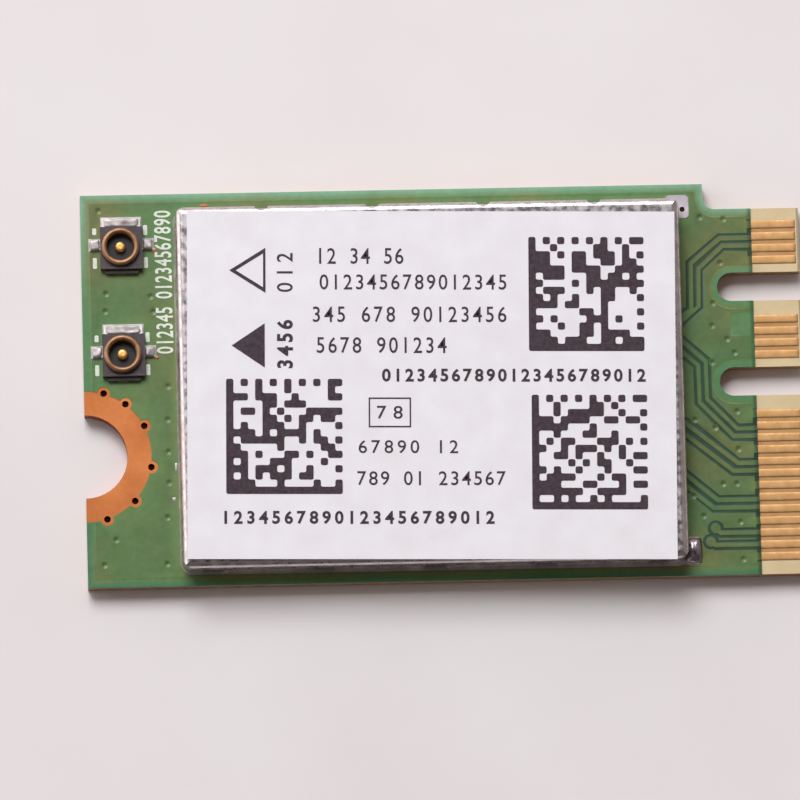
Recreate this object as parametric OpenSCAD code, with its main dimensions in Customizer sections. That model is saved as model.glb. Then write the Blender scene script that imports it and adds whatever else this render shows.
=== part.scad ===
// Laptop wireless network card: a 30 mm edge-connector card with a shield can,
// two coaxial antenna jacks, a half-round screw notch and two key slots.
// X runs along the card with the contact fingers at +X, Y across it, Z up.
// The origin is under the middle of the card, on its underside.

/* [Card] */
// Overall length, from the screw end to the finger edge
card_len = 30; // [28:0.5:36]
// Width of the card
card_w = 16.5; // [16:0.1:20]
// Finished thickness, with copper and solder mask on both sides
card_t = 0.8; // [0.7:0.05:1]
// Thickness of the copper on each side
copper_t = 0.035; // [0.02:0.005:0.05]
// Thickness of the solder mask where it lies on copper
mask_t = 0.02; // [0.016:0.002:0.03]
// Distance of the connector's middle line from the card's middle, towards -Y
centre_shift = 2.75; // [2.6:0.05:2.8]
// Length of the tongue that enters the socket
tongue_len = 4; // [3.8:0.1:4.5]
// Side step of the tongue at its +Y edge
tongue_step = 1.075; // [0.9:0.025:1.2]
// Radius in the corner between the tongue and the body
shoulder_r = 0.5; // [0.3:0.05:0.6]
// Bevel on the finger edge of the laminate
edge_bevel = 0.1; // [0.05:0.01:0.14]

/* [Key slots] */
// Width of each key slot
key_w = 1.2; // [1:0.05:1.3]
// Depth of each key slot from the finger edge
key_depth = 3.5; // [3.2:0.05:3.7]

/* [Contact fingers] */
// Distance between neighbouring fingers on one side
finger_pitch = 0.5; // [0.49:0.005:0.51]
// Width of a finger
finger_w = 0.35; // [0.3:0.01:0.4]
// Distance of the first finger from the connector's middle line
first_finger = 9.25; // [9.15:0.05:9.3]
// Bare laminate between a finger's tip and the card's edge
finger_setback = 0.15; // [0.15:0.01:0.3]
// Length of the card's edge that carries no solder mask
mask_free = 2; // [1.8:0.1:2.3]

/* [Screw notch] */
// Radius of the half-round notch for the retaining screw
notch_r = 1.75; // [1.6:0.05:1.85]
// Radius of the bare copper pad around the notch
pad_r = 2.75; // [2.6:0.05:3]
// Thickness of the plating inside the notch and the pad's vias
plating_t = 0.05; // [0.03:0.01:0.07]
// Finished bore of the vias at the pad's rim
pad_via_d = 0.28; // [0.2:0.02:0.34]
// Radius of the copper ring around each of these vias
pad_via_land_r = 0.27; // [0.25:0.01:0.32]
// Radius of the circle that these vias lie on
pad_via_circle_r = 2.77; // [2.7:0.01:2.9]

/* [Copper pattern] */
// Distance of the top copper from the card's edges
edge_keepout = 0.33; // [0.25:0.01:0.45]
// Width of a trace
trace_w = 0.2; // [0.15:0.01:0.22]
// Width of the gap on each side of a trace
trace_gap = 0.1; // [0.08:0.01:0.12]
// Diameter of the dimple over a covered via
dimple_d = 0.26; // [0.2:0.01:0.3]
// Strip without copper beside the fingers
finger_gap_x = 0.16; // [0.1:0.01:0.25]

/* [Antenna jacks] */
// Distance of both jacks from the screw end
jack_from_end = 1.63; // [1.6:0.01:1.8]
// Place of the auxiliary jack across the card
aux_jack_y = 6; // [5.8:0.05:6.3]
// Place of the main jack across the card
main_jack_y = 1.48; // [1.4:0.02:2]
// Outer radius of the jack's ring at its bead
ring_r = 0.79; // [0.74:0.01:0.82]
// Wall of the ring
ring_wall = 0.22; // [0.18:0.01:0.24]
// Height of the ring above its solder
ring_h = 0.6; // [0.55:0.01:0.7]
// Radius of the centre pin
pin_r = 0.22; // [0.18:0.01:0.24]
// Width of the jack's moulded housing
housing_l = 1.76; // [1.7:0.02:1.9]
// Depth of the jack's moulded housing
housing_w = 1.78; // [1.74:0.02:1.9]
// Height of the moulded housing above its solder
housing_h = 0.33; // [0.3:0.01:0.4]
// Thickness of the jack's sheet metal
jack_sheet = 0.1; // [0.08:0.01:0.12]

/* [Shield can] */
// Distance of the can from the screw end of the card
can_from_end = 3.92; // [3.8:0.02:4.6]
// Distance of the can from the finger edge of the card
can_from_fingers = 5.08; // [5:0.02:5.8]
// Distance of the can's -Y wall from the card's edge
can_front_margin = 0.595; // [0.5:0.005:0.8]
// Distance of the can's +Y wall from the card's edge
can_back_margin = 0.755; // [0.5:0.005:0.9]
// Height of the can above its solder
can_h = 1.3; // [1.25:0.05:1.6]
// Thickness of the can's sheet
sheet_t = 0.15; // [0.1:0.01:0.2]
// Outer radius of the bends along the can's top
bend_r = 0.3; // [0.25:0.01:0.4]
// Radius of the can's corners seen from above
can_corner_r = 0.45; // [0.4:0.05:0.6]
// Distance between neighbouring slots along a long wall
slot_pitch = 4.62; // [4.4:0.02:4.8]
// Width of the slots in the +Y wall
back_slot_w = 0.6; // [0.4:0.05:0.8]
// Width of the foot openings in the -Y wall
foot_slot_w = 0.85; // [0.6:0.05:1]
// Height of the foot openings in the -Y wall
foot_slot_h = 0.45; // [0.3:0.05:0.6]
// Thickness of the solder under the can and the parts
solder_t = 0.02; // [0.01:0.005:0.04]
// Width of the solder land that shows around the can
land_w = 0.18; // [0.1:0.01:0.22]

/* [Label] */
// Half of the can's length that the label leaves bare
label_end_gap = 0.3; // [0.2:0.05:0.9]
// Half of the can's width that the label leaves bare
label_side_gap = 0.275; // [0.2:0.025:0.8]
// Thickness of the label
label_t = 0.08; // [0.05:0.01:0.15]
// Angle at which the label was stuck on, in degrees
label_turn = -1.2; // [-1.4:0.1:1.4]
// Thickness of the print and of the white marks on the card
ink_t = 0.012; // [0.01:0.002:0.02]

/* [Parts under the can] */
// Side of the radio chip
radio_side = 8; // [7:0.25:8.5]
// Height of the radio chip above its leads
radio_h = 0.85; // [0.7:0.05:0.95]
// Height of the small chips above their leads
chip_h = 0.6; // [0.5:0.05:0.8]
// Thickness of the chips' leads
lead_t = 0.03; // [0.02:0.005:0.05]
// Length of a filter or balun
block_l = 1.6; // [1.4:0.1:1.7]
// Width of a filter or balun
block_w = 0.8; // [0.7:0.05:0.9]
// Height of a filter or balun
block_h = 0.6; // [0.5:0.05:0.8]
// Length of the metal cap at each end of one
block_cap = 0.3; // [0.2:0.05:0.4]
// Height of the power inductor
inductor_h = 1; // [0.8:0.05:1.05]
// Length of a small capacitor or resistor
small_l = 1; // [0.9:0.05:1.05]
// Width of a small capacitor or resistor
small_w = 0.5; // [0.45:0.05:0.55]
// Length of the metal cap at each end of one
small_cap = 0.22; // [0.15:0.01:0.3]

/* [Hidden] */
$fn = 48;

// Edges of the card
x0 = -card_len / 2;
x1 = card_len / 2;
y0 = -card_w / 2;
y1 = card_w / 2;
tongue_x = x1 - tongue_len;
tongue_y = y1 - tongue_step;
mask_edge_x = x1 - mask_free;
centre_y = -centre_shift;

// Heights of the layers
core_z0 = mask_t + copper_t;
core_z1 = card_t - core_z0;
copper_top_z = core_z1 + copper_t;
groove_depth = 0.75 * mask_t;
seat_z = card_t + solder_t;
can_top_z = seat_z + can_h;
label_top_z = can_top_z + label_t;
cut = 0.5;

// Fingers are numbered across both faces: odd ones lie on top
top_pins = concat([for (n = [1:2:7]) n], [for (n = [17:2:23]) n], [for (n = [33:2:57]) n]);
bottom_pins = concat([for (n = [2:2:6]) n], [for (n = [16:2:22]) n], [for (n = [32:2:56]) n]);
ground_pins = [1, 7, 33, 39, 45, 51, 57];
function pin_y(n) = centre_y + first_finger - (n - 1) * finger_pitch / 2;
key_a_y = pin_y(11.5);
key_e_y = pin_y(27.5);

// Angles of the six vias at the pad's rim, chosen from the photograph
pad_via_angles = [73, 52, 27, -10, -43, -72];

// Trace routes: finger number, then points back from the mask edge and beside that finger
routes = [
    [3, [[0, -0.08], [-1.32, -0.08], [-2.56, -1.1], [-2.6, -3.05], [-3.3, -3.75]]],
    [5, [[0, 0.1], [-1.22, 0.1], [-2.25, -0.84], [-2.28, -2.42], [-3.2, -3.34]]],
    [35, [[0, -0.12], [-0.85, -0.12], [-2.06, 1.15], [-2.06, 2.75], [-3.1, 3.8]]],
    [37, [[0, 0.06], [-1, 0.06], [-2.38, 1.52], [-2.38, 3.1], [-3.3, 4.03]]],
    [41, [[0, -0.08], [-0.85, -0.08], [-3.2, 1.92]]],
    [43, [[0, 0.1], [-1.05, 0.1], [-3.4, 2.1]]],
    [47, [[0, -0.12], [-1.75, -0.12], [-3.3, 1.33]]],
    [49, [[0, 0.06], [-1.92, 0.06], [-3.4, 1.45]]],
    [53, [[0, 0], [-1.66, 0], [-1.86, 0.2]]],
    [55, [[0, 0], [-1.9, 0], [-2.08, 0.14]]]];
// The last two routes end in vias with a ring of their own
ring_via_routes = [8, 9];
ring_via_r = 0.22;

// Covered vias near the screw end, as distance from that end and place across the card
end_vias = [[0.75, 7.6], [1, 4.1], [2.85, 3.95], [0.95, 3.35], [2.95, 3.3], [3.5, 0.15], [3.45, -1.25],
    [3.45, -2.6], [3.45, -3.9], [3.35, -5.35], [3.3, -7.3], [1.2, -6.25], [0.7, -7.3]];
// Covered vias near the fingers, as distance back from the mask edge and place across the card
finger_vias = [[2.15, 6.85], [1.15, 6.75], [1.35, 4.9], [2.6, 3.6], [1.7, 3.2], [1.76, 2.25], [1.15, 1.68],
    [0.85, 1.1], [1.8, 0.7], [2.6, -1.7], [0.82, -1.38], [1.76, -2.05], [0.82, -2.97], [1.5, -4.42],
    [0.93, -4.42], [2.75, -4.9], [2.35, -5.75], [0.83, -6.03], [0.76, -7.6], [2.6, -7.4]];
// Patch without copper beside the second group of fingers
patch_l = 0.95;
patch_w = 0.95;
patch_gap = 0.2;

// Antenna jacks
jack_x = x0 + jack_from_end;
ring_inner_r = ring_r - ring_wall;
tab_w = 0.43;
tab_l = 0.43;
tab_y = 0.14;
bar_l = 1.6;
bar_w = 0.4;
foot_land = 0.05;
ring_bead = 0.06;
pin_foot_w = 0.4;
pin_edge_r = 0.12;
foot_clear = 0.06;
housing_x = 0.05;
housing_y = -0.03;
housing_floor = 0.18;
housing_bevel = 0.05;
ledge_l = 1.4;
ledge_w = 0.18;
ledge_h = 0.16;
ledge_r = 0.08;
pin_h = 0.46;
// Fence of white ticks beside each jack: side, then place across the card
ticks = [[-1, 0.72, 0.28], [1, 0.75, 0.42], [-1, -0.62, 0.46], [1, -0.62, 0.46]];
tick_w = 0.17;
tick_x = 1.06;
// Row of white marks between the jacks and the can
mark_count = 7;
mark_pitch = 0.8;
mark_l = 0.35;
mark_w = 0.3;
mark_gap = 0.15;

// Shield can
can_x0 = x0 + can_from_end;
can_x1 = x1 - can_from_fingers;
can_y0 = y0 + can_front_margin;
can_y1 = y1 - can_back_margin;
can_l = can_x1 - can_x0;
can_w = can_y1 - can_y0;
can_x = (can_x0 + can_x1) / 2;
can_y = (can_y0 + can_y1) / 2;
can_z0 = seat_z;
// Lands beside the can's +X corners: side along Y, reach beyond the can along X and Y, length along Y
corner_lands = [[1, 0.49, 0.3, 0.98], [-1, 0.58, 0.125, 1.15]];
slot_shift = 0.02;
back_slot_depth = bend_r * 0.8;
pinhole_r = 0.11;
pinhole_depth = 0.3;
corner_slit_w = 0.1;
corner_slit_from = 0.7;

// Label, a little off the can's middle
label_l = can_l - 2 * label_end_gap;
label_w = can_w - 2 * label_side_gap;
label_x = can_x - 0.06;
label_y = can_y - 0.14;
stroke = 0.12;
// Bars of print that keep to the label's upper edge: left end, depth of the foot, length, height
upper_rows = [[5.4, 2.3, 3.35, 0.5], [5.55, 3.4, 7.85, 0.5], [5.2, 4.75, 8.2, 0.5], [5.4, 6.05, 5.5, 0.5],
    [8.1, 7.25, 11.05, 0.45], [3.85, 3.6, 0.6, 1.85], [3.85, 6.75, 0.6, 1.85]];
// Bars of print that keep to the label's lower edge: left end, foot, length, height
lower_rows = [[7.5, 4.35, 4.35, 0.45], [7.1, 3, 6.25, 0.45], [1.4, 1.4, 11.5, 0.45]];
// Pointers: tip along the label, depth of the tip, length, width
open_pointer = [1.9, 2.6, 1.45, 1.87];
full_pointer = [1.95, 5.75, 1.4, 1.85];
// Framed box: left end, foot, length, height
print_box = [7.65, 5.4, 1.75, 1.25];
// Code fields: left end, foot, side
upper_code = [14.3, 5.95, 4.85];
lower_codes = [[1.7, 2.65, 4.75], [14.4, 2, 4.75]];
code_cells = 16;

// Parts under the can keep to its walls or its middle. A place is the side along X (-1, 0 or 1),
// the distance from there, then the same along Y.
function inside(p) = [can_x + p[0] * can_l / 2 + p[1], can_y + p[2] * can_w / 2 + p[3]];

// Chips: place, length, width, height, leads along x, leads along y, pitch
chips = [
    [inside([1, -6.5, 0, 0]), radio_side, radio_side, radio_h, 14, 14, 0.5],
    [inside([-1, 7.35, -1, 2.25]), 3, 2, chip_h, 4, 0, 0.65],
    [inside([-1, 4.6, -1, 3.25]), 2, 2, chip_h, 3, 3, 0.45],
    [inside([-1, 4.5, 1, -2.2]), 3, 3, chip_h, 4, 4, 0.5],
    [inside([-1, 4.5, 0, 1.3]), 3, 3, chip_h, 4, 4, 0.5]];
lead_w = 0.24;
lead_l = 0.4;
chip_bevel = 0.06;
chip_mark_r = 0.2;
chip_mark_inset = 0.5;
chip_mark_depth = 0.05;
// Filters and baluns
filters = [inside([-1, 1.7, 1, -1.7]), inside([-1, 1.7, 0, 1.5]),
    inside([-1, 7.5, 1, -2.3]), inside([-1, 7.5, 0, 1.3])];
inductor_at = inside([-1, 2.3, -1, 3.25]);
inductor_l = 2.2;
inductor_w = 2;
inductor_cap = 0.35;
crystal_at = inside([1, -5.3, 1, -1.6]);
crystal_l = 2.5;
crystal_w = 2;
crystal_base_h = 0.35;
crystal_lid_h = 0.2;
crystal_rim = 0.15;
// Capacitors and resistors: place, turn
capacitors = concat(
    [for (i = [0:5]) [inside([1, -9.8 + 1.3 * i, -1, 2.15]), 90]],
    [for (i = [-3:2]) [inside([1, -1.3, 0, 1.5 * i]), 0]],
    [[inside([-1, 6.5, 0, 3.3]), 90], [inside([-1, 4.5, 0, -1]), 0], [inside([-1, 2.2, 0, -1.9]), 0],
        [inside([-1, 2.2, -1, 1.25]), 0], [inside([-1, 4.9, -1, 1.25]), 0],
        [inside([-1, 1.7, 1, -3.9]), 90]]);
capacitor_h = 0.5;
resistors = concat(
    [for (x = [-10.1, -8.9, -7.7, -3.5, -2.7, -1.5]) [inside([1, x, 1, -1.9]), 90]],
    [[inside([-1, 7.6, 0, -0.9]), 0], [inside([-1, 6.7, 0, -2.5]), 0], [inside([-1, 2.5, 0, -0.7]), 0]]);
resistor_h = 0.35;

// Left side of a route at distance d from its middle, with mitred bends
function unit(v) = v / norm(v);
function side_dir(v) = [-v[1], v[0]];
function corner_dir(p, i) =
    i == 0 ? side_dir(unit(p[1] - p[0])) :
    i == len(p) - 1 ? side_dir(unit(p[i] - p[i - 1])) :
    let (a = side_dir(unit(p[i] - p[i - 1])), b = side_dir(unit(p[i + 1] - p[i])), m = unit(a + b))
    m / (m * a);
function beside(p, d) = [for (i = [0:len(p) - 1]) p[i] + d * corner_dir(p, i)];
function backwards(p) = [for (i = [len(p) - 1:-1:0]) p[i]];
function route_points(r) = [for (q = r[1]) [mask_edge_x + q[0], pin_y(r[0]) + q[1]]];
function route_end(r) = route_points(r)[len(r[1]) - 1];

// A band of width w along a route
module band(p, w) {
    polygon(concat(beside(p, w / 2), backwards(beside(p, -w / 2))));
}

// A rectangle with round corners, about the origin
module rounded_rect(l, w, r) {
    square([l, w - 2 * r], center = true);
    square([l - 2 * r, w], center = true);
    for (sx = [-1, 1], sy = [-1, 1])
        translate([sx * (l / 2 - r), sy * (w / 2 - r)])
            circle(r);
}

// The card seen from above, with every edge moved inwards
module card_outline(inset = 0) {
    difference() {
        union() {
            translate([x0 + inset, y0 + inset])
                square([card_len - tongue_len - 2 * inset, card_w - 2 * inset]);
            translate([x0 + inset, y0 + inset])
                square([card_len - 2 * inset, card_w - tongue_step - 2 * inset]);
            difference() {
                translate([tongue_x - inset, tongue_y - inset])
                    square(shoulder_r + inset);
                translate([tongue_x + shoulder_r, tongue_y + shoulder_r])
                    circle(shoulder_r + inset);
            }
        }
        key_slot(key_a_y, inset);
        key_slot(key_e_y, inset);
        translate([x0, centre_y])
            circle(notch_r + plating_t + inset);
    }
}

// A slot that is open at the finger edge and round at its closed end
module key_slot(y, inset) {
    r = key_w / 2 + inset;
    translate([x1 - key_depth + key_w / 2, y]) {
        circle(r);
        translate([0, -r])
            square([key_depth, 2 * r]);
    }
}

// Centres of the vias at the pad's rim
module at_pad_vias() {
    for (a = pad_via_angles)
        translate([x0, centre_y])
            rotate(a)
                translate([pad_via_circle_r, 0])
                    children();
}

// Bare copper around the notch, with a bump for each via
module pad_shape() {
    intersection() {
        union() {
            translate([x0, centre_y])
                circle(pad_r);
            at_pad_vias()
                circle(pad_via_land_r);
        }
        translate([x0, y0])
            square([card_len, card_w]);
    }
}

// The part of the card's outline that carries solder mask
module masked_area() {
    difference() {
        intersection() {
            card_outline();
            translate([x0, y0])
                square([card_len - mask_free, card_w]);
        }
        pad_shape();
    }
}

// Copper pour that stops short of the edges and of the fingers
module pour() {
    difference() {
        intersection() {
            card_outline(edge_keepout);
            translate([x0, y0])
                square([card_len - mask_free - finger_gap_x, card_w]);
        }
        pad_shape();
    }
}

// Top copper: the pour with its gaps, the traces and the links to the ground fingers
module top_copper_shape() {
    difference() {
        pour();
        for (r = routes)
            band(route_points(r), trace_w + 2 * trace_gap);
        for (i = ring_via_routes)
            translate(route_end(routes[i]))
                circle(ring_via_r + trace_gap);
        for (v = end_vias)
            translate([x0 + v[0], v[1]])
                circle(d = dimple_d);
        for (v = finger_vias)
            translate([mask_edge_x - v[0], v[1]])
                circle(d = dimple_d);
        translate([mask_edge_x - patch_l, pin_y(17) - patch_gap - patch_w / 2])
            square([patch_l, patch_w]);
        pinhole_shape();
    }
    for (r = routes)
        band(route_points(r), trace_w);
    for (i = ring_via_routes)
        translate(route_end(routes[i]))
            circle(ring_via_r);
    for (n = ground_pins)
        translate([mask_edge_x - finger_gap_x - edge_keepout, pin_y(n) - finger_w / 2])
            square([finger_gap_x + edge_keepout, finger_w]);
}

// Solder lands around the can and under the jacks, open through the mask
module land_shapes() {
    difference() {
        union() {
            translate([can_x, can_y])
                rounded_rect(can_l + 2 * land_w, can_w + 2 * land_w, can_corner_r + land_w);
            for (c = corner_lands)
                translate([can_x1 + c[1] - c[3] / 2, can_y + c[0] * (can_w / 2 + c[2] - c[3] / 2)])
                    rounded_rect(c[3], c[3], land_w);
        }
        translate([can_x, can_y])
            rounded_rect(can_l - 2 * sheet_t - 2 * land_w, can_w - 2 * sheet_t - 2 * land_w, can_corner_r);
        pinhole_shape();
    }
    for (y = [aux_jack_y, main_jack_y])
        translate([jack_x, y])
            jack_footprint();
}

// Small bore in the land beside the can's corner
module pinhole_shape() {
    translate([can_x1 + corner_lands[0][1] - 0.27, can_y1 - 0.305])
        circle(pinhole_r);
}

// Lands around the jack's feet, and under the pin's foot
module jack_footprint() {
    for (s = [-1, 1])
        translate([housing_x + s * (housing_l + tab_l + foot_land) / 2, tab_y])
            square([tab_l + foot_land, tab_w + 2 * foot_land], center = true);
    translate([housing_x, housing_y + (housing_w + bar_w + foot_land) / 2])
        square([bar_l + 2 * foot_land, bar_w + foot_land], center = true);
    translate([0, housing_y - housing_w / 2])
        square([pin_foot_w, 2 * ledge_w], center = true);
}

// The glass-fibre laminate, with its finger edge bevelled
module board_core() {
    color("burlywood")
        difference() {
            translate([0, 0, core_z0])
                linear_extrude(core_z1 - core_z0)
                    card_outline();
            translate([0, 0, core_z1 - pinhole_depth])
                linear_extrude(cut)
                    pinhole_shape();
            for (z = [core_z0, core_z1])
                translate([x1, 0, z])
                    rotate([0, 45, 0])
                        cube([edge_bevel * sqrt(2), card_w + 2, edge_bevel * sqrt(2)], center = true);
            at_pad_vias()
                translate([0, 0, -cut])
                    cylinder(r = pad_via_d / 2 + plating_t, h = card_t + 2 * cut);
        }
}

// Copper pattern on the top face
module top_copper() {
    color("darkgoldenrod")
        translate([0, 0, core_z1])
            linear_extrude(copper_t)
                top_copper_shape();
}

// Plain copper pour on the underside
module bottom_copper() {
    color("darkgoldenrod")
        translate([0, 0, mask_t])
            linear_extrude(copper_t)
                pour();
}

// Solder mask that sinks into every gap of the top copper and leaves the lands open
module top_solder_mask() {
    color("olivedrab")
        difference() {
            union() {
                translate([0, 0, core_z1])
                    linear_extrude(card_t - groove_depth - core_z1)
                        masked_area();
                translate([0, 0, core_z1])
                    linear_extrude(card_t - core_z1)
                        intersection() {
                            top_copper_shape();
                            masked_area();
                        }
            }
            translate([0, 0, core_z1 - copper_t])
                linear_extrude(2 * copper_t)
                    top_copper_shape();
            translate([0, 0, copper_top_z])
                linear_extrude(cut) {
                    land_shapes();
                    part_lands();
                }
            translate([0, 0, core_z1 - cut])
                linear_extrude(2 * cut)
                    pinhole_shape();
        }
}

// Solder mask over the underside's pour
module bottom_solder_mask() {
    color("darkgreen")
        difference() {
            linear_extrude(core_z0)
                masked_area();
            translate([0, 0, mask_t])
                linear_extrude(2 * copper_t)
                    pour();
        }
}

// A row of gold fingers
module finger_row(pins, z) {
    for (n = pins)
        translate([mask_edge_x, pin_y(n) - finger_w / 2, z])
            cube([mask_free - finger_setback, finger_w, copper_t]);
}

module top_contact_fingers() {
    color("goldenrod")
        finger_row(top_pins, core_z1);
}

module bottom_contact_fingers() {
    color("goldenrod")
        finger_row(bottom_pins, mask_t);
}

// Bare copper pads on both faces, joined by the plated notch and the plated vias
module screw_pad() {
    color("peru")
        difference() {
            union() {
                translate([0, 0, mask_t])
                    linear_extrude(copper_t)
                        pad_shape();
                translate([0, 0, core_z1])
                    linear_extrude(copper_t)
                        pad_shape();
                intersection() {
                    translate([x0, centre_y, mask_t])
                        cylinder(r = notch_r + plating_t, h = card_t - 2 * mask_t);
                    translate([x0, y0, 0])
                        cube([card_len, card_w, card_t]);
                }
                at_pad_vias()
                    translate([0, 0, mask_t])
                        cylinder(r = pad_via_d / 2 + plating_t, h = card_t - 2 * mask_t);
            }
            translate([x0, centre_y, -cut])
                cylinder(r = notch_r, h = card_t + 2 * cut);
            at_pad_vias()
                translate([0, 0, -cut])
                    cylinder(r = pad_via_d / 2, h = card_t + 2 * cut);
        }
}

// Tinned lands that stand through the mask's openings
module solder_lands() {
    color("silver")
        translate([0, 0, copper_top_z])
            linear_extrude(seat_z - copper_top_z)
                land_shapes();
}

// White ticks beside the jacks and a plain row of marks between them and the can
module silkscreen() {
    color("white")
        translate([0, 0, card_t]) {
            for (y = [aux_jack_y, main_jack_y], t = ticks)
                translate([jack_x + t[0] * tick_x - tick_w / 2, y + t[1] - t[2] / 2, 0])
                    cube([tick_w, t[2], ink_t]);
            for (i = [0:mark_count - 1])
                translate([can_x0 - land_w - mark_gap - mark_l, main_jack_y + i * mark_pitch, 0])
                    cube([mark_l, mark_w, ink_t]);
        }
}

// Moulded base of an antenna jack, with seats for its two contacts
module jack_housing(y) {
    translate([jack_x, y, seat_z])
        difference() {
            translate([housing_x, housing_y, 0])
                housing_block();
            translate([0, 0, housing_floor])
                cylinder(r = ring_inner_r, h = housing_h);
            jack_ring();
            jack_pin_shape();
        }
}

// Block with a bevelled front edge and a low ledge in front
module housing_block() {
    difference() {
        translate([-housing_l / 2, -housing_w / 2, 0])
            cube([housing_l, housing_w, housing_h]);
        translate([0, -housing_w / 2, housing_h])
            rotate([45, 0, 0])
                cube([housing_l + 1, housing_bevel * sqrt(2), housing_bevel * sqrt(2)], center = true);
    }
    translate([0, -housing_w / 2])
        linear_extrude(ledge_h)
            intersection() {
                rounded_rect(ledge_l, 2 * ledge_w, ledge_r);
                translate([-ledge_l / 2, -ledge_w])
                    square([ledge_l, ledge_w + ledge_r]);
            }
}

// Ring and feet of a jack, cut and drawn from one sheet, with its lip rolled into a bead
module jack_ring() {
    difference() {
        union() {
            rotate_extrude() {
                translate([ring_inner_r, 0])
                    square([ring_wall - ring_bead, ring_h - ring_wall / 2]);
                translate([ring_r - ring_wall / 2, ring_h - ring_wall / 2])
                    circle(ring_wall / 2);
            }
            difference() {
                translate([housing_x - housing_l / 2 - tab_l, tab_y - tab_w / 2, 0])
                    cube([housing_l + 2 * tab_l, tab_w, jack_sheet]);
                translate([0, 0, -cut])
                    cylinder(r = ring_inner_r + ring_wall / 2, h = jack_sheet + 2 * cut);
            }
            translate([-tab_w / 2, ring_inner_r + ring_wall / 2, 0])
                cube([tab_w, housing_y + housing_w / 2 - ring_inner_r, jack_sheet]);
            translate([housing_x - bar_l / 2, housing_y + housing_w / 2, 0])
                cube([bar_l, bar_w, jack_sheet]);
        }
        translate([-pin_foot_w / 2 - foot_clear, -ring_r - 1, -cut])
            cube([pin_foot_w + 2 * foot_clear, ring_r + 1, cut + jack_sheet + foot_clear]);
    }
}

// Centre pin of a jack, round at its upper edge, with a foot that ends under the housing's ledge
module jack_pin_shape() {
    rotate_extrude() {
        square([pin_r, pin_h - pin_edge_r]);
        square([pin_r - pin_edge_r, pin_h]);
        translate([pin_r - pin_edge_r, pin_h - pin_edge_r])
            intersection() {
                circle(pin_edge_r);
                square(pin_edge_r);
            }
    }
    translate([-pin_foot_w / 2, housing_y - housing_w / 2 - ledge_w, 0])
        cube([pin_foot_w, housing_w / 2 + ledge_w - housing_y, jack_sheet]);
}

module jack_shell(y) {
    color("rosybrown")
        translate([jack_x, y, seat_z])
            jack_ring();
}

module jack_pin(y) {
    color("gold")
        translate([jack_x, y, seat_z])
            jack_pin_shape();
}

// A section with its two upper corners rounded, standing on y = 0
module top_rounded(w, h, r) {
    translate([-w / 2, 0])
        square([w, h - r]);
    translate([-w / 2 + r, 0])
        square([w - 2 * r, h]);
    for (s = [-1, 1])
        translate([s * (w / 2 - r), h - r])
            circle(r);
}

// A closed block with bends along all four upper edges
module bent_block(l, w, h, r, corner) {
    intersection() {
        rotate([90, 0, 0])
            linear_extrude(w + 2, center = true)
                top_rounded(l, h, r);
        rotate([90, 0, 90])
            linear_extrude(l + 2, center = true)
                top_rounded(w, h, r);
        linear_extrude(h + 2)
            rounded_rect(l, w, corner);
    }
}

// Shield folded from one sheet, with slots over the back bend and openings at the front foot
module shield_can() {
    color("gainsboro")
        translate([can_x, can_y, can_z0])
            difference() {
                bent_block(can_l, can_w, can_h, bend_r, can_corner_r);
                translate([0, 0, -cut])
                    bent_block(can_l - 2 * sheet_t, can_w - 2 * sheet_t, can_h - sheet_t + cut,
                        bend_r - sheet_t, can_corner_r - sheet_t);
                for (i = [-1.5:1:1.5])
                    translate([slot_shift + i * slot_pitch, can_w / 2, 0])
                        back_slot();
                for (i = [-2:1:2])
                    translate([slot_shift + i * slot_pitch, -can_w / 2, 0])
                        foot_slot();
                for (y = [-can_w / 2 + corner_slit_from, can_w / 2 - corner_slit_from])
                    translate([-can_l / 2 - 1, y - corner_slit_w / 2, -cut])
                        cube([can_l + 2, corner_slit_w, cut + can_h - bend_r]);
            }
}

// Slot through the +Y wall, with a half-round end in the top
module back_slot() {
    r = back_slot_w / 2;
    translate([-r, -back_slot_depth + r, -cut])
        cube([back_slot_w, back_slot_depth + cut, can_h + 2 * cut]);
    translate([0, -back_slot_depth + r, -cut])
        cylinder(r = r, h = can_h + 2 * cut);
}

// Opening at the foot of the -Y wall, with a round top
module foot_slot() {
    r = foot_slot_h / 2;
    translate([-foot_slot_w / 2, -cut, -cut])
        cube([foot_slot_w, cut + sheet_t * 1.5, foot_slot_h - r + cut]);
    for (s = [-1, 1])
        translate([s * (foot_slot_w / 2 - r), -cut, foot_slot_h - r])
            rotate([-90, 0, 0])
                cylinder(r = r, h = cut + sheet_t * 1.5);
    translate([-foot_slot_w / 2 + r, -cut, -cut])
        cube([foot_slot_w - 2 * r, cut + sheet_t * 1.5, foot_slot_h + cut]);
}

// Places its children in the label's own frame, with its lower left corner as origin
module on_label(z) {
    translate([label_x, label_y, z])
        rotate(label_turn)
            translate([-label_l / 2, -label_w / 2, 0])
                children();
}

// White label on the can's top
module label() {
    color("whitesmoke")
        on_label(can_top_z)
            cube([label_l, label_w, label_t]);
}

// A pointer towards the jacks, with its tip at x, y
module pointer(x, y, l, w) {
    polygon([[x, y], [x + l, y - w / 2], [x + l, y + w / 2]]);
}

// A square field of plain blocks inside an L-shaped border with a dotted far edge
module code_field(x, y, side) {
    m = side / code_cells;
    translate([x, y]) {
        square([side, m * 0.9]);
        square([m * 0.9, side]);
        for (i = [1:7]) {
            translate([2 * i * m, side - m])
                square(m * 0.8);
            translate([side - m, (2 * i - 0.5) * m])
                square(m * 0.8);
        }
        for (i = [0:3], j = [0:3])
            translate([(2 + 3 * i) * m, (2 + 3 * j) * m])
                square([m * (1 + (i + 2 * j) % 3), m * (1 + (2 * i + j) % 2)] * 0.8);
    }
}

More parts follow.
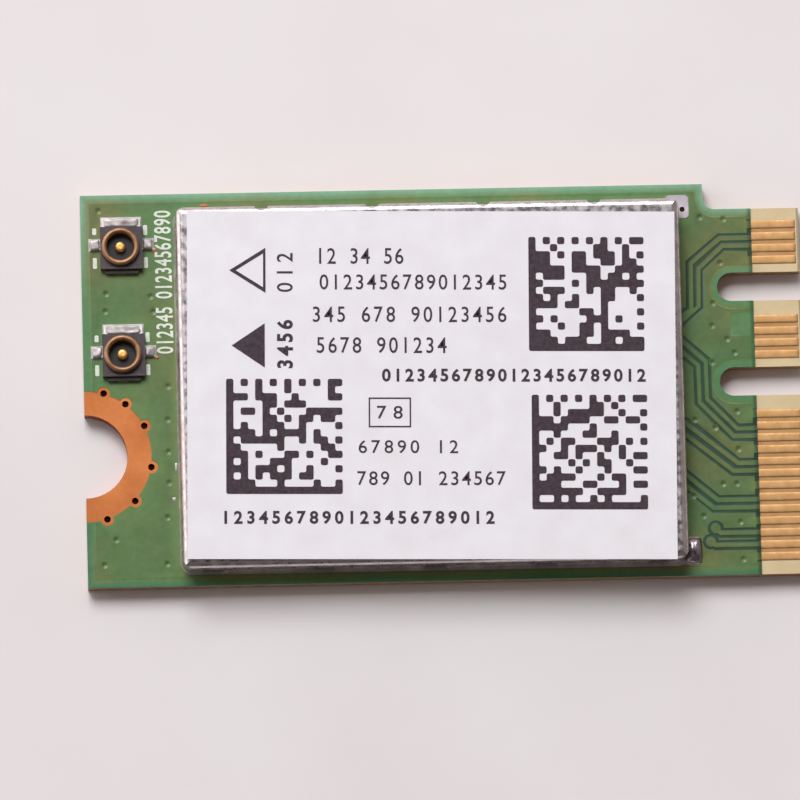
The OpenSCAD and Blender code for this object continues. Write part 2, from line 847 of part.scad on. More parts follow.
// Print of simple shapes: two pointers, bars for the rows, a box and three code fields
module label_print() {
    color("dimgray")
        on_label(label_top_z)
            linear_extrude(ink_t) {
                difference() {
                    pointer(open_pointer[0], label_w - open_pointer[1], open_pointer[2], open_pointer[3]);
                    pointer(open_pointer[0] + 2.2 * stroke, label_w - open_pointer[1],
                        open_pointer[2] - 3.2 * stroke, open_pointer[3] - 4.4 * stroke);
                }
                pointer(full_pointer[0], label_w - full_pointer[1], full_pointer[2], full_pointer[3]);
                for (row = upper_rows)
                    translate([row[0], label_w - row[1]])
                        square([row[2], row[3]]);
                for (row = lower_rows)
                    translate([row[0], row[1]])
                        square([row[2], row[3]]);
                translate([print_box[0], print_box[1]])
                    difference() {
                        square([print_box[2], print_box[3]]);
                        translate([stroke / 2, stroke / 2])
                            square([print_box[2] - stroke, print_box[3] - stroke]);
                    }
                code_field(upper_code[0], label_w - upper_code[1], upper_code[2]);
                for (f = lower_codes)
                    code_field(f[0], f[1], f[2]);
            }
}

// Moulded package with a bevelled top and a round mark in one corner
module chip(c) {
    l = c[1];
    w = c[2];
    h = c[3];
    edge = chip_bevel * sqrt(2);
    translate([c[0][0], c[0][1], seat_z + lead_t])
        difference() {
            translate([-l / 2, -w / 2, 0])
                cube([l, w, h]);
            translate([-l / 2 + chip_mark_inset, w / 2 - chip_mark_inset, h - chip_mark_depth])
                cylinder(r = chip_mark_r, h = cut);
            for (s = [-1, 1]) {
                translate([s * l / 2, 0, h])
                    rotate([0, 45, 0])
                        cube([edge, w + 1, edge], center = true);
                translate([0, s * w / 2, h])
                    rotate([45, 0, 0])
                        cube([l + 1, edge, edge], center = true);
            }
        }
}

// Leads along the sides of a chip, and its middle pad, seen from above
module lead_shapes(c) {
    l = c[1];
    w = c[2];
    pitch = c[6];
    translate(c[0]) {
        for (s = [-1, 1]) {
            if (c[4] > 0)
                for (i = [0:c[4] - 1])
                    translate([(i - (c[4] - 1) / 2) * pitch, s * (w - lead_l) / 2])
                        square([lead_w, lead_l], center = true);
            if (c[5] > 0)
                for (i = [0:c[5] - 1])
                    translate([s * (l - lead_l) / 2, (i - (c[5] - 1) / 2) * pitch])
                        square([lead_l, lead_w], center = true);
        }
        square([l - 4 * lead_l, w - 3 * lead_l], center = true);
    }
}

module chip_leads() {
    color("silver")
        translate([0, 0, seat_z])
            linear_extrude(lead_t)
                for (c = chips)
                    lead_shapes(c);
}

// The two metal ends of a block, seen from above
module end_shapes(l, w, cap) {
    for (s = [-1, 1])
        translate([s * (l - cap) / 2, 0])
            square([cap, w], center = true);
}

// A ceramic block between its ends
module block_body(at, turn, l, w, h, cap) {
    translate([at[0], at[1], seat_z])
        rotate(turn)
            translate([-l / 2 + cap, -w / 2, 0])
                cube([l - 2 * cap, w, h]);
}

// The ends of a block
module block_ends(at, turn, l, w, h, cap) {
    translate([at[0], at[1], seat_z])
        rotate(turn)
            linear_extrude(h)
                end_shapes(l, w, cap);
}

// A filter or balun, one fired block with its metal ends
module ceramic_block(at) {
    block_body(at, 0, block_l, block_w, block_h, block_cap);
    block_ends(at, 0, block_l, block_w, block_h, block_cap);
}

module inductor_core() {
    color("dimgray")
        block_body(inductor_at, 0, inductor_l, inductor_w, inductor_h, inductor_cap);
}

module inductor_ends() {
    color("silver")
        block_ends(inductor_at, 0, inductor_l, inductor_w, inductor_h, inductor_cap);
}

// Ceramic tub of the crystal
module crystal_base() {
    color("dimgray")
        translate([crystal_at[0], crystal_at[1], seat_z])
            linear_extrude(crystal_base_h)
                rounded_rect(crystal_l, crystal_w, crystal_rim);
}

// Metal lid of the crystal
module crystal_lid() {
    color("lightgray")
        translate([crystal_at[0], crystal_at[1], seat_z + crystal_base_h])
            linear_extrude(crystal_lid_h)
                rounded_rect(crystal_l - 2 * crystal_rim, crystal_w - 2 * crystal_rim, crystal_rim);
}

module capacitor_bodies() {
    color("tan")
        for (p = capacitors)
            block_body(p[0], p[1], small_l, small_w, capacitor_h, small_cap);
}

module capacitor_ends() {
    color("silver")
        for (p = capacitors)
            block_ends(p[0], p[1], small_l, small_w, capacitor_h, small_cap);
}

module resistor_bodies() {
    color("black")
        for (p = resistors)
            block_body(p[0], p[1], small_l, small_w, resistor_h, small_cap);
}

module resistor_ends() {
    color("silver")
        for (p = resistors)
            block_ends(p[0], p[1], small_l, small_w, resistor_h, small_cap);
}

// Places where the parts inside the can are soldered through the mask
module part_lands() {
    for (c = chips)
        lead_shapes(c);
    for (at = filters)
        translate(at)
            end_shapes(block_l, block_w, block_cap);
    translate(inductor_at)
        end_shapes(inductor_l, inductor_w, inductor_cap);
    for (p = concat(capacitors, resistors))
        translate(p[0])
            rotate(p[1])
                end_shapes(small_l, small_w, small_cap);
    translate(crystal_at)
        for (sx = [-1, 1], sy = [-1, 1])
            translate([sx * crystal_l / 3, sy * crystal_w / 3])
                square([crystal_l / 5, crystal_w / 5], center = true);
}

// Solder under every part inside the can, down to the copper
module component_solder() {
    color("lightslategray")
        translate([0, 0, copper_top_z])
            linear_extrude(seat_z - copper_top_z)
                part_lands();
}

board_core();
top_copper();
bottom_copper();
top_solder_mask();
bottom_solder_mask();
top_contact_fingers();
bottom_contact_fingers();
screw_pad();
solder_lands();
silkscreen();
color("dimgray") jack_housing(aux_jack_y);  // aux_jack_housing
jack_shell(aux_jack_y);  // aux_jack_shell
jack_pin(aux_jack_y);  // aux_jack_pin
color("dimgray") jack_housing(main_jack_y);  // main_jack_housing
jack_shell(main_jack_y);  // main_jack_shell
jack_pin(main_jack_y);  // main_jack_pin
shield_can();
label();
label_print();
color("dimgray") chip(chips[0]);  // radio_chip
color("dimgray") chip(chips[1]);  // memory_chip
color("dimgray") chip(chips[2]);  // power_regulator
color("dimgray") chip(chips[3]);  // aux_front_end
color("dimgray") chip(chips[4]);  // main_front_end
color("ivory") ceramic_block(filters[0]);  // aux_filter
color("ivory") ceramic_block(filters[1]);  // main_filter
color("ivory") ceramic_block(filters[2]);  // aux_balun
color("ivory") ceramic_block(filters[3]);  // main_balun
chip_leads();
crystal_base();
crystal_lid();
inductor_core();
inductor_ends();
capacitor_bodies();
capacitor_ends();
resistor_bodies();
resistor_ends();
component_solder();
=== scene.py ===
"""The looks of a laptop wireless card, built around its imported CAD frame.

Shapes are worked out in millimetres in the row frame (X towards the contact fingers, Y across, Z up)
and become metres when a mesh is made. Colours are written as 8-bit screen values.
"""

import math
import random

import bmesh
import bpy
import numpy as np
from mathutils import Matrix, Vector, noise
from mathutils.geometry import delaunay_2d_cdt


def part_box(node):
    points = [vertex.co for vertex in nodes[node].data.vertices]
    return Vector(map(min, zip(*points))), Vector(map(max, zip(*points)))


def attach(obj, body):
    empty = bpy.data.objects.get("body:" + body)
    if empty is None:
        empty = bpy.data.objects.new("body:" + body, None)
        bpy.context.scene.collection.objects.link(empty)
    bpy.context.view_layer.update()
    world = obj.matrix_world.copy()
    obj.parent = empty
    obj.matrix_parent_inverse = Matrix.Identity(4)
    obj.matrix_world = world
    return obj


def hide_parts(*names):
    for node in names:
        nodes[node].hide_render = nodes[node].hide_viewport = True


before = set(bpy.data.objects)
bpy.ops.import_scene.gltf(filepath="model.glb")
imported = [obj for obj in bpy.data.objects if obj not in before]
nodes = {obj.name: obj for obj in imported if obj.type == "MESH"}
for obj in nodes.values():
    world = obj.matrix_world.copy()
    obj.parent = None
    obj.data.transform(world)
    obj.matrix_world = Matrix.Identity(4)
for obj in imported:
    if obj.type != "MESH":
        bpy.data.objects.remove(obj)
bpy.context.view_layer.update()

MM = 0.001
SEED = 7


def box_mm(node):
    """Lowest and highest corner of a CAD node, in millimetres."""
    low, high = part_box(node)
    return low / MM, high / MM


# Places read off the frame
CORE_LO, CORE_HI = box_mm("board_core")
MASK_LO, MASK_HI = box_mm("top_solder_mask")
CAN_LO, CAN_HI = box_mm("shield_can")
PRINT_LO, PRINT_HI = box_mm("label_print")
FINGER_LO, FINGER_HI = box_mm("top_contact_fingers")
LANDS_LO, LANDS_HI = box_mm("solder_lands")
PAD_LO, PAD_HI = box_mm("screw_pad")
MARK_LO, MARK_HI = box_mm("silkscreen")
JACKS = ("aux_jack", "main_jack")
JACK_AT = {}
for jack in JACKS:
    low, high = box_mm(jack + "_pin")
    JACK_AT[jack] = ((low.x + high.x) / 2, high.y - (high.x - low.x) / 2)


def finger_edges(node):
    """The lower and upper Y of each finger, in mm."""
    rows = sorted({round(v.co.y / MM, 3) for v in nodes[node].data.vertices})
    return list(zip(rows[::2], rows[1::2]))


KEY_GAP = 0.5
FINGER_GROUPS = []
for low, high in finger_edges("top_contact_fingers"):
    if FINGER_GROUPS and low - FINGER_GROUPS[-1][1] < KEY_GAP:
        FINGER_GROUPS[-1][1] = high
    else:
        FINGER_GROUPS.append([low, high])


def put(name, data):
    """A new object in the scene."""
    made = bpy.data.objects.new(name, data)
    bpy.context.scene.collection.objects.link(made)
    return made


# Materials


def screen(r, g, b):
    """A colour as it looks on screen, turned into the linear values that Blender takes."""
    linear = [c / 255 / 12.92 if c <= 10 else ((c / 255 + 0.055) / 1.055) ** 2.4 for c in (r, g, b)]
    return (*linear, 1)


def ranged(tree, value, numbers, kind="LINEAR"):
    """The value carried from one range to another, each given by its low and high end."""
    node = tree.nodes.new("ShaderNodeMapRange")
    node.interpolation_type = kind
    for key, number in zip(("From Min", "From Max", "To Min", "To Max"), numbers):
        node.inputs[key].default_value = number
    tree.links.new(value, node.inputs["Value"])
    return node.outputs[0]


class Look:
    """A procedural material: one Principled shader, with its textures laid out in millimetres."""

    def __init__(self, name, rough=0.5, metal=0.0, coat=0.0, specular=0.5):
        self.material = bpy.data.materials.new(name)
        self.material.use_nodes = True
        self.tree = self.material.node_tree
        self.shader = self.tree.nodes["Principled BSDF"]
        self.shader.inputs["Roughness"].default_value = rough
        self.shader.inputs["Metallic"].default_value = metal
        self.shader.inputs["Coat Weight"].default_value = coat
        self.shader.inputs["Coat Roughness"].default_value = 0.25
        self.shader.inputs["Specular IOR Level"].default_value = specular
        place = self.add("ShaderNodeTexCoord").outputs["Object"]
        scaled = self.add("ShaderNodeVectorMath", operation="SCALE")
        self.link(place, scaled.inputs[0])
        scaled.inputs["Scale"].default_value = 1 / MM
        self.place = scaled.outputs[0]

    def add(self, kind, **settings):
        node = self.tree.nodes.new(kind)
        for key, value in settings.items():
            setattr(node, key, value)
        return node

    def link(self, source, target):
        self.tree.links.new(source, target)

    def noise(self, size, detail=3.0, seed=0.0):
        """Cloudy values around 0.5 with features of that size in mm."""
        mapping = self.add("ShaderNodeMapping")
        mapping.inputs["Scale"].default_value = (1 / size,) * 3
        mapping.inputs["Location"].default_value = (seed, seed * 1.7, seed * 0.3)
        self.link(self.place, mapping.inputs["Vector"])
        texture = self.add("ShaderNodeTexNoise")
        texture.inputs["Scale"].default_value = 1.0
        texture.inputs["Detail"].default_value = detail
        self.link(mapping.outputs[0], texture.inputs["Vector"])
        return texture.outputs["Fac"]

    def axis(self, name):
        """The X, Y or Z of the place, in mm."""
        split = self.add("ShaderNodeSeparateXYZ")
        self.link(self.place, split.inputs[0])
        return split.outputs[name]

    def math(self, operation, a, b=None):
        node = self.add("ShaderNodeMath", operation=operation)
        for i, value in enumerate((a, b)):
            if value is None:
                continue
            if isinstance(value, (int, float)):
                node.inputs[i].default_value = value
            else:
                self.link(value, node.inputs[i])
        return node.outputs[0]

    def times(self, a, b):
        return self.math("MULTIPLY", a, b)

    def span(self, value, low, high, out_low=0.0, out_high=1.0):
        """The value's place between low and high, as a number from out_low to out_high."""
        return ranged(self.tree, value, (low, high, out_low, out_high), "SMOOTHSTEP")

    def upward(self):
        """1 where the surface faces straight up or down, 0 on walls."""
        split = self.add("ShaderNodeSeparateXYZ")
        self.link(self.add("ShaderNodeNewGeometry").outputs["Normal"], split.inputs[0])
        return self.math("ABSOLUTE", split.outputs["Z"])

    def by_facing(self, wall, face):
        """One colour on walls and another on faces that lie flat."""
        return self.mix(self.span(self.upward(), 0.4, 0.8), wall, face)

    def window(self, value, low, high):
        """1 where the value lies between low and high, otherwise 0."""
        return self.times(self.math("GREATER_THAN", value, low), self.math("LESS_THAN", value, high))

    def ripple(self, axis, length):
        """A sine wave along an axis, from -1 to 1, with that length in mm."""
        return self.math("SINE", self.times(self.axis(axis), 2 * math.pi / length))

    def finger_zone(self):
        """1 between the contact fingers of a group, otherwise 0."""
        along = self.window(self.axis("X"), FINGER_LO.x, FINGER_HI.x)
        across = 0.0
        for low, high in FINGER_GROUPS:
            across = self.math("ADD", across, self.window(self.axis("Y"), low, high))
        return self.times(along, across)

    def attribute(self, name):
        return self.add("ShaderNodeAttribute", attribute_name=name).outputs["Fac"]

    def ramp(self, value, *stops):
        """A colour chosen by the value; stops are (place, screen colour)."""
        node = self.add("ShaderNodeValToRGB")
        elements = node.color_ramp.elements
        while len(elements) < len(stops):
            elements.new(0.5)
        for element, (place, colour) in zip(elements, stops):
            element.position = place
            element.color = screen(*colour)
        self.link(value, node.inputs[0])
        return node.outputs[0]

    def tones(self, value, reach, *colours):
        """Colours spread evenly over the values from 0.5 - reach to 0.5 + reach."""
        places = np.linspace(0.5 - reach, 0.5 + reach, len(colours))
        return self.ramp(value, *zip(places, colours))

    def mix(self, value, a, b, blend="MIX"):
        node = self.add("ShaderNodeMix", data_type="RGBA", blend_type=blend)
        for socket, source in ((0, value), (6, a), (7, b)):
            if isinstance(source, (int, float, tuple)):
                node.inputs[socket].default_value = source
            else:
                self.link(source, node.inputs[socket])
        return node.outputs[2]

    def colour(self, source):
        self.link(source, self.shader.inputs["Base Color"])

    def roughness(self, cloud, low, high):
        """Roughness between low and high, following a cloudy value."""
        self.link(self.span(cloud, 0.3, 0.7, low, high), self.shader.inputs["Roughness"])

    def bump(self, height, depth):
        """Bump of that depth in mm where the height runs from 0 to 1."""
        node = self.add("ShaderNodeBump")
        node.inputs["Distance"].default_value = depth * MM
        node.inputs["Strength"].default_value = 1.0
        self.link(height, node.inputs["Height"])
        self.link(node.outputs[0], self.shader.inputs["Normal"])


# Greens of the copper-free margin, by Y from the card's −Y edge to its +Y edge: the margin's own clearer
# green with painted light, dark teal on the −Y side and bright on the +Y side.
EDGE_GREENS_SHADED_TO_LIT = ((0.0, (52, 118, 82)), (0.12, (66, 124, 82)), (0.85, (84, 140, 92)), (1.0, (128, 178, 146)))
# How far in from the mask's end its painted shade begins, and where that shade is full.
MASK_END_SHADE = (0.22, 0.06)
WEAVE_X, WEAVE_Y, LAYER_T = 0.42, 0.36, 0.13
SHELL_FOOT_Z = LANDS_HI.z + 0.1
# RECESS_Z is the height below which the jack moulding gets its painted shade, over the FADE span; LEDGE_W and
# BEVEL_W place its painted highlight band.
RECESS_Z = LANDS_HI.z + 0.18
LEDGE_W = 0.18
BEVEL_W = 0.06
FADE = (0.02, 0.08)


def mask_look():
    """Green solder mask: olive over copper, dark in the gaps, clear green along the card's edge; painted
    light makes that green bright along the +Y edge and dark teal along the −Y edge, and painted shade darkens
    the mask along its end by the fingers.
    """
    look = Look("green_solder_mask", coat=0.04)
    cloud = look.noise(5.0, detail=2.0, seed=3.1)
    over_copper = look.tones(cloud, 0.14, (91, 128, 72), (101, 127, 70), (119, 124, 66))
    in_gap = look.tones(look.noise(1.5, seed=5.0), 0.2, (34, 64, 42), (45, 78, 50))
    # The margin's green with painted light: brighter towards the +Y edge, darker towards the −Y edge.
    edge_green_painted_light = look.ramp(look.span(look.axis("Y"), CORE_LO.y, CORE_HI.y), *EDGE_GREENS_SHADED_TO_LIT)
    rim = look.attribute("rim")
    toward_edge = look.mix(rim, over_copper, edge_green_painted_light)
    bare = look.mix(look.math("GREATER_THAN", rim, 0.01), in_gap, toward_edge)
    base = look.mix(look.attribute("copper"), bare, toward_edge)
    # Painted shade: the mask darkens towards its end beside the contact fingers.
    end = look.span(look.axis("X"), *(MASK_HI.x - inward for inward in MASK_END_SHADE))
    base = look.mix(end, base, look.mix(1.0, base, screen(170, 190, 180), "MULTIPLY"))
    grain = look.tones(look.noise(0.25, detail=4.0), 0.2, (238, 238, 238), (255, 255, 255))
    look.colour(look.mix(1.0, base, grain, "MULTIPLY"))
    look.roughness(look.noise(0.6), 0.36, 0.48)
    look.bump(look.noise(0.5, detail=2.0), 0.002)
    return look.material


def laminate_look():
    """Glass-fibre laminate: pale woven faces, with painted shade that makes it darker brown between the
    fingers and on the cut walls.
    """
    look = Look("glass_laminate", rough=0.55)
    weave = look.times(look.times(look.ripple("X", WEAVE_X), look.ripple("Y", WEAVE_Y)), 0.025)
    open_face = look.tones(look.math("ADD", look.noise(1.6), weave), 0.2, (203, 180, 137), (217, 196, 155))
    # Painted shade, tinted by the gold: darker brown between the contact fingers.
    between = look.tones(look.noise(0.5), 0.2, (178, 130, 80), (194, 148, 94))
    face = look.mix(look.finger_zone(), open_face, between)
    streak = look.math("ADD", look.noise(0.5), look.times(look.ripple("Z", LAYER_T), 0.08))
    # Painted shade: the cut walls get darker browns than the faces; the ripple along Z is the laminate's own
    # layers.
    look.colour(look.by_facing(look.tones(streak, 0.2, (140, 104, 68), (172, 132, 88)), face))
    look.bump(look.noise(0.3), 0.002)
    return look.material


def copper_look(name, dark, mid, light, rough):
    """Bare copper with fine grain and slight tarnish, and painted shade that gives its walls a darker
    red-brown.
    """
    look = Look(name, metal=1.0)
    face = look.tones(look.noise(1.8, seed=2.0), 0.16, dark, mid, light)
    # Painted shade: walls get a darker red-brown than the faces.
    look.colour(look.by_facing(screen(156, 84, 62), face))
    fine = look.noise(0.12)
    look.roughness(fine, rough - 0.05, rough + 0.07)
    look.bump(fine, 0.0015)
    return look.material


def gold_look(name, dark, mid, light, rough, grain):
    """Plated gold with the fine grain of the copper under it."""
    look = Look(name, metal=1.0)
    look.colour(look.tones(look.noise(grain), 0.18, dark, mid, light))
    fine = look.noise(0.1)
    look.roughness(fine, rough - 0.05, rough + 0.08)
    look.bump(fine, 0.001)
    return look.material


def shell_look():
    """Drawn jack sheet: brownish on the ring, tinned bright on the feet."""
    look = Look("jack_sheet", rough=0.55, metal=1.0)
    ring = look.tones(look.noise(0.3), 0.18, (148, 110, 82), (178, 140, 108))
    feet = look.tones(look.noise(0.3, seed=6.0), 0.2, (206, 198, 196), (232, 226, 224))
    above_feet = look.span(look.axis("Z"), *(SHELL_FOOT_Z + up for up in (0.02, 0.1)))
    look.colour(look.mix(above_feet, feet, ring))
    look.bump(look.noise(0.12), 0.0015)
    return look.material


def tin_look(name, dark, mid, light, rough, depth):
    """Tin or tinned sheet, with soft clouded patches."""
    look = Look(name, metal=1.0)
    cloud = look.noise(0.5)
    look.colour(look.tones(cloud, 0.16, dark, mid, light))
    look.roughness(look.noise(0.3, seed=4.0), rough - 0.08, rough + 0.12)
    look.bump(cloud, depth)
    return look.material


def paper_look():
    """Satin label film with the faintest fibre."""
    look = Look("label_film", rough=0.42, specular=0.4)
    look.colour(look.tones(look.noise(1.2, detail=5.0), 0.2, (229, 224, 229), (236, 232, 237)))
    look.bump(look.noise(0.18, detail=4.0), 0.0012)
    return look.material


def plain_look(name, dark, light, rough, size, depth=0.002, specular=0.5, coat=0.0):
    """A dull or glazed surface with slight mottling, for moulded, fired and printed pieces."""
    look = Look(name, rough=rough, specular=specular, coat=coat)
    cloud = look.noise(size, detail=4.0)
    look.colour(look.tones(cloud, 0.18, dark, light))
    look.bump(cloud, depth)
    return look.material


def moulding_look():
    """Black moulding, with painted shade that darkens it low down, in the jack's recess and on its ledge, and
    a painted highlight as a pale band on the bevel in front.
    """
    look = Look("black_moulding")
    cloud = look.noise(0.25, detail=4.0)
    top = look.tones(cloud, 0.18, (58, 46, 50), (76, 62, 66))
    # Painted shade: below the recess height the moulding turns much darker.
    low = look.tones(cloud, 0.18, (22, 16, 19), (34, 26, 29))
    body = look.mix(look.span(look.axis("Z"), *(RECESS_Z + up for up in FADE)), low, top)
    # Painted highlight: a pale band along the top of the bevel in front of each jack.
    front = 0.0
    for jack in JACKS:
        edge = box_mm(jack + "_housing")[0].y + LEDGE_W
        front = look.math("ADD", front, look.window(look.axis("Y"), edge - 0.01, edge + BEVEL_W))
    above = look.math("GREATER_THAN", look.axis("Z"), RECESS_Z + FADE[1])
    look.colour(look.mix(look.times(front, above), body, screen(128, 110, 108)))
    look.bump(cloud, 0.002)
    return look.material


MASK = mask_look()
LAMINATE = laminate_look()
BARE_COPPER = copper_look("bare_copper", (191, 115, 67), (200, 123, 73), (208, 131, 80), 0.55)
ETCHED_COPPER = copper_look("etched_copper", (150, 92, 54), (176, 112, 66), (196, 130, 84), 0.5)
FINGER_GOLD = gold_look("finger_gold", (202, 157, 106), (209, 165, 113), (217, 173, 123), 0.6, grain=0.4)
PIN_GOLD = gold_look("pin_gold", (230, 180, 100), (240, 194, 118), (248, 208, 138), 0.48, grain=0.2)
SOLDER = tin_look("bright_solder", (178, 169, 167), (191, 183, 181), (204, 197, 195), 0.62, depth=0.002)
LAND_TIN = tin_look("land_tin", (176, 166, 174), (190, 180, 188), (204, 195, 202), 0.55, depth=0.002)
DULL_SOLDER = tin_look("dull_solder", (150, 138, 146), (164, 152, 160), (180, 168, 174), 0.3, depth=0.004)
CAN_STEEL = tin_look("tinned_steel", (192, 181, 184), (204, 194, 196), (216, 207, 208), 0.3, depth=0.003)
JACK_SHEET = shell_look()
LABEL_FILM = paper_look()
DARK_INK = plain_look("thermal_print", (48, 34, 42), (72, 56, 66), 0.5, size=0.15, depth=0.001, specular=0.3)
WHITE_INK = plain_look("white_legend", (206, 212, 198), (228, 232, 220), 0.55, size=0.12)
BLACK_MOULDING = moulding_look()
CHIP_RESIN = plain_look("chip_resin", (30, 30, 32), (44, 44, 46), 0.6, size=0.2)
PALE_CERAMIC = plain_look("pale_ceramic", (206, 200, 180), (224, 218, 200), 0.35, size=0.5, coat=0.2)
DARK_CERAMIC = plain_look("dark_ceramic", (42, 42, 44), (60, 60, 62), 0.5, size=0.3)
TAN_CERAMIC = plain_look("tan_ceramic", (132, 98, 68), (158, 122, 88), 0.45, size=0.3)

NODE_LOOKS = (
    (LAMINATE, "board_core"),
    (ETCHED_COPPER, "top_copper", "bottom_copper"),
    (MASK, "top_solder_mask", "bottom_solder_mask"),
    (FINGER_GOLD, "top_contact_fingers", "bottom_contact_fingers"),
    (BARE_COPPER, "screw_pad"),
    (WHITE_INK, "silkscreen"),
    (BLACK_MOULDING, "aux_jack_housing", "main_jack_housing"),
    (JACK_SHEET, "aux_jack_shell", "main_jack_shell"),
    (PIN_GOLD, "aux_jack_pin", "main_jack_pin"),
    (CAN_STEEL, "shield_can", "crystal_lid"),
    (LABEL_FILM, "label"),
    (DARK_INK, "label_print"),
    (CHIP_RESIN, "radio_chip", "memory_chip", "power_regulator", "aux_front_end", "main_front_end"),
    (PALE_CERAMIC, "aux_filter", "main_filter", "aux_balun", "main_balun"),
    (DARK_CERAMIC, "crystal_base", "inductor_core", "resistor_bodies"),
    (TAN_CERAMIC, "capacitor_bodies"),
    (SOLDER, "solder_lands", "component_solder", "chip_leads"),
    (SOLDER, "inductor_ends", "capacitor_ends", "resistor_ends"),
)


def dress_nodes():
    """Every carried-over CAD node gets its procedural material."""
    for material, *names in NODE_LOOKS:
        for name in names:
            slots = nodes[name].material_slots
            if not slots:
                nodes[name].data.materials.append(material)
            for slot in slots:
                slot.material = material


dress_nodes()


# Mesh helpers


def add_piece(name, vertices, faces, material, slot, *replaced, normals=None):
    """A mesh piece from points in mm, riding on the card."""
    mesh = bpy.data.meshes.new(name)
    mesh.from_pydata([tuple(c * MM for c in v) for v in vertices], [], faces)
    mesh.validate()
    mesh.materials.append(material)
    return place_piece(name, mesh, slot, *replaced, normals=normals)


def place_piece(name, mesh, slot, *replaced, normals=None):
    piece = put(name, mesh)
    if normals is not None:
        mesh.shade_smooth()
        mesh.normals_split_custom_set_from_vertices([tuple(n) for n in normals])
    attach(piece, "root")
    if replaced:
        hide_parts(*replaced)
    return piece


def moved_copy(name, node, move, material, slot):
    """A moved copy of a CAD node, in its place; move takes and gives X and Y in mm."""
    mesh = nodes[node].data.copy()
    for vertex in mesh.vertices:
        x, y = move(vertex.co.x / MM, vertex.co.y / MM)
        vertex.co.x, vertex.co.y = x * MM, y * MM
    mesh.materials.clear()
    mesh.materials.append(material)
    place_piece(name, mesh, slot, node)


def grid_faces(rows, columns, first=0):
    """Faces between points that are listed row by row, the first of them at that index."""
    corners = [first + i * columns + k for i in range(rows - 1) for k in range(columns - 1)]
    return [(a, a + columns, a + columns + 1, a + 1) for a in corners]


def curve_mesh(data, name):
    """The mesh of a curve or text, with its surface filled."""
    holder = put(name, data)
    bpy.context.view_layer.update()
    graph = bpy.context.evaluated_depsgraph_get()
    mesh = bpy.data.meshes.new_from_object(holder.evaluated_get(graph))
    bpy.data.objects.remove(holder)
    return mesh


class Print:
    """Flat ink of one piece: outlines and figures gathered into one mesh."""

    def __init__(self, place, low, high):
        self.place = place
        self.low, self.high = low, high
        self.body = bmesh.new()

    def take(self, mesh, matrix):
        mesh.transform(matrix)
        self.body.from_mesh(mesh)
        bpy.data.meshes.remove(mesh)

    def outlines(self, loops):
        """Ink inside closed outlines, given in mm on the sheet; an outline inside another is a hole."""
        data = bpy.data.curves.new("ink", "CURVE")
        data.dimensions = "2D"
        data.fill_mode = "BOTH"
        data.extrude = 0.5
        for loop in loops:
            spline = data.splines.new("POLY")
            spline.points.add(len(loop) - 1)
            for point, (x, y) in zip(spline.points, loop):
                point.co = (x, y, 0, 1)
            spline.use_cyclic_u = True
        self.take(curve_mesh(data, "ink"), self.place @ self.thickness())

    def thickness(self):
        middle, depth = (self.low + self.high) / 2, self.high - self.low
        return Matrix.Translation((0, 0, middle)) @ Matrix.Diagonal((1, 1, depth, 1))

    def figures(self, text, x, y, height, pitch, width, weight=0.0, turn=0):
        """A row of plain figures from its lower left corner, one in each step of pitch."""
        row = Matrix.Translation((x, y, 0)) @ Matrix.Rotation(math.radians(turn), 4, "Z")
        for i, figure in enumerate(text):
            if figure == " ":
                continue
            mesh, low, high = self.glyph(figure, weight)
            scale = Matrix.Diagonal((width, height / (high.y - low.y), 1, 1))
            centre = Matrix.Translation((-(low.x + high.x) / 2, -low.y, 0))
            step = Matrix.Translation((pitch * (i + 0.5), 0, 0))
            self.take(mesh, self.place @ self.thickness() @ row @ step @ scale @ centre)

    def glyph(self, figure, weight):
        data = bpy.data.curves.new("figure", "FONT")
        data.body = figure
        data.size = 1
        data.extrude = 0.5
        data.resolution_u = 5
        data.offset = weight
        mesh = curve_mesh(data, "figure")
        points = np.array([v.co for v in mesh.vertices])
        return mesh, Vector(points.min(0)), Vector(points.max(0))

    def finish(self, name, material, slot, *replaced):
        mesh = bpy.data.meshes.new(name)
        self.body.transform(Matrix.Scale(MM, 4))
        self.body.to_mesh(mesh)
        self.body.free()
        mesh.materials.clear()
        mesh.materials.append(material)
        return place_piece(name, mesh, slot, *replaced)


# Solder mask with its relief over traces, gaps and covered vias

CAN_CORNER_R = 0.45
MASK_TOP = MASK_HI.z
FACING_UP = 0.9
HEIGHT_SLACK = 0.003
STEP_HALF = 0.035
STEP_SPREAD = 1.8
STEP_DROP = 0.008
GAP_SPREAD = 0.012
SUNK = 0.015
BOWL_R = 0.16
BOWL_DEPTH = 0.045
BOWL_RINGS = (0.045, 0.09, 0.13, 0.165)
BOWL_SIDES = 20
BOWL_BARE = 0.5
DIMPLE_R = 0.13
DIMPLE_SLACK = 0.004
DIMPLES_APART = 0.03
ARC_STEP = 0.12
ARC_UNEVEN = 0.15
RIM_W = 0.36
CLEAR_BOX = ((12.0, 1.75), (12.95, 2.78))
CLEAR_RIM = 0.6
AT_ONCE = 1000
ON_EDGE = 1e-4
TINY = 1e-9

# The land around the can: its reach past the wall in the solids, what shows of it here, and the ends
# of the larger corner lands, measured from the can's corners
LAND_MARGIN = 0.18
LAND_SHOWN = 0.07
LAND_SLACK = 0.02
CORNER_LAND_Y = 0.6
CORNER_LAND_BACK = 0.46
CORNER_LAND_FRONT = 0.5


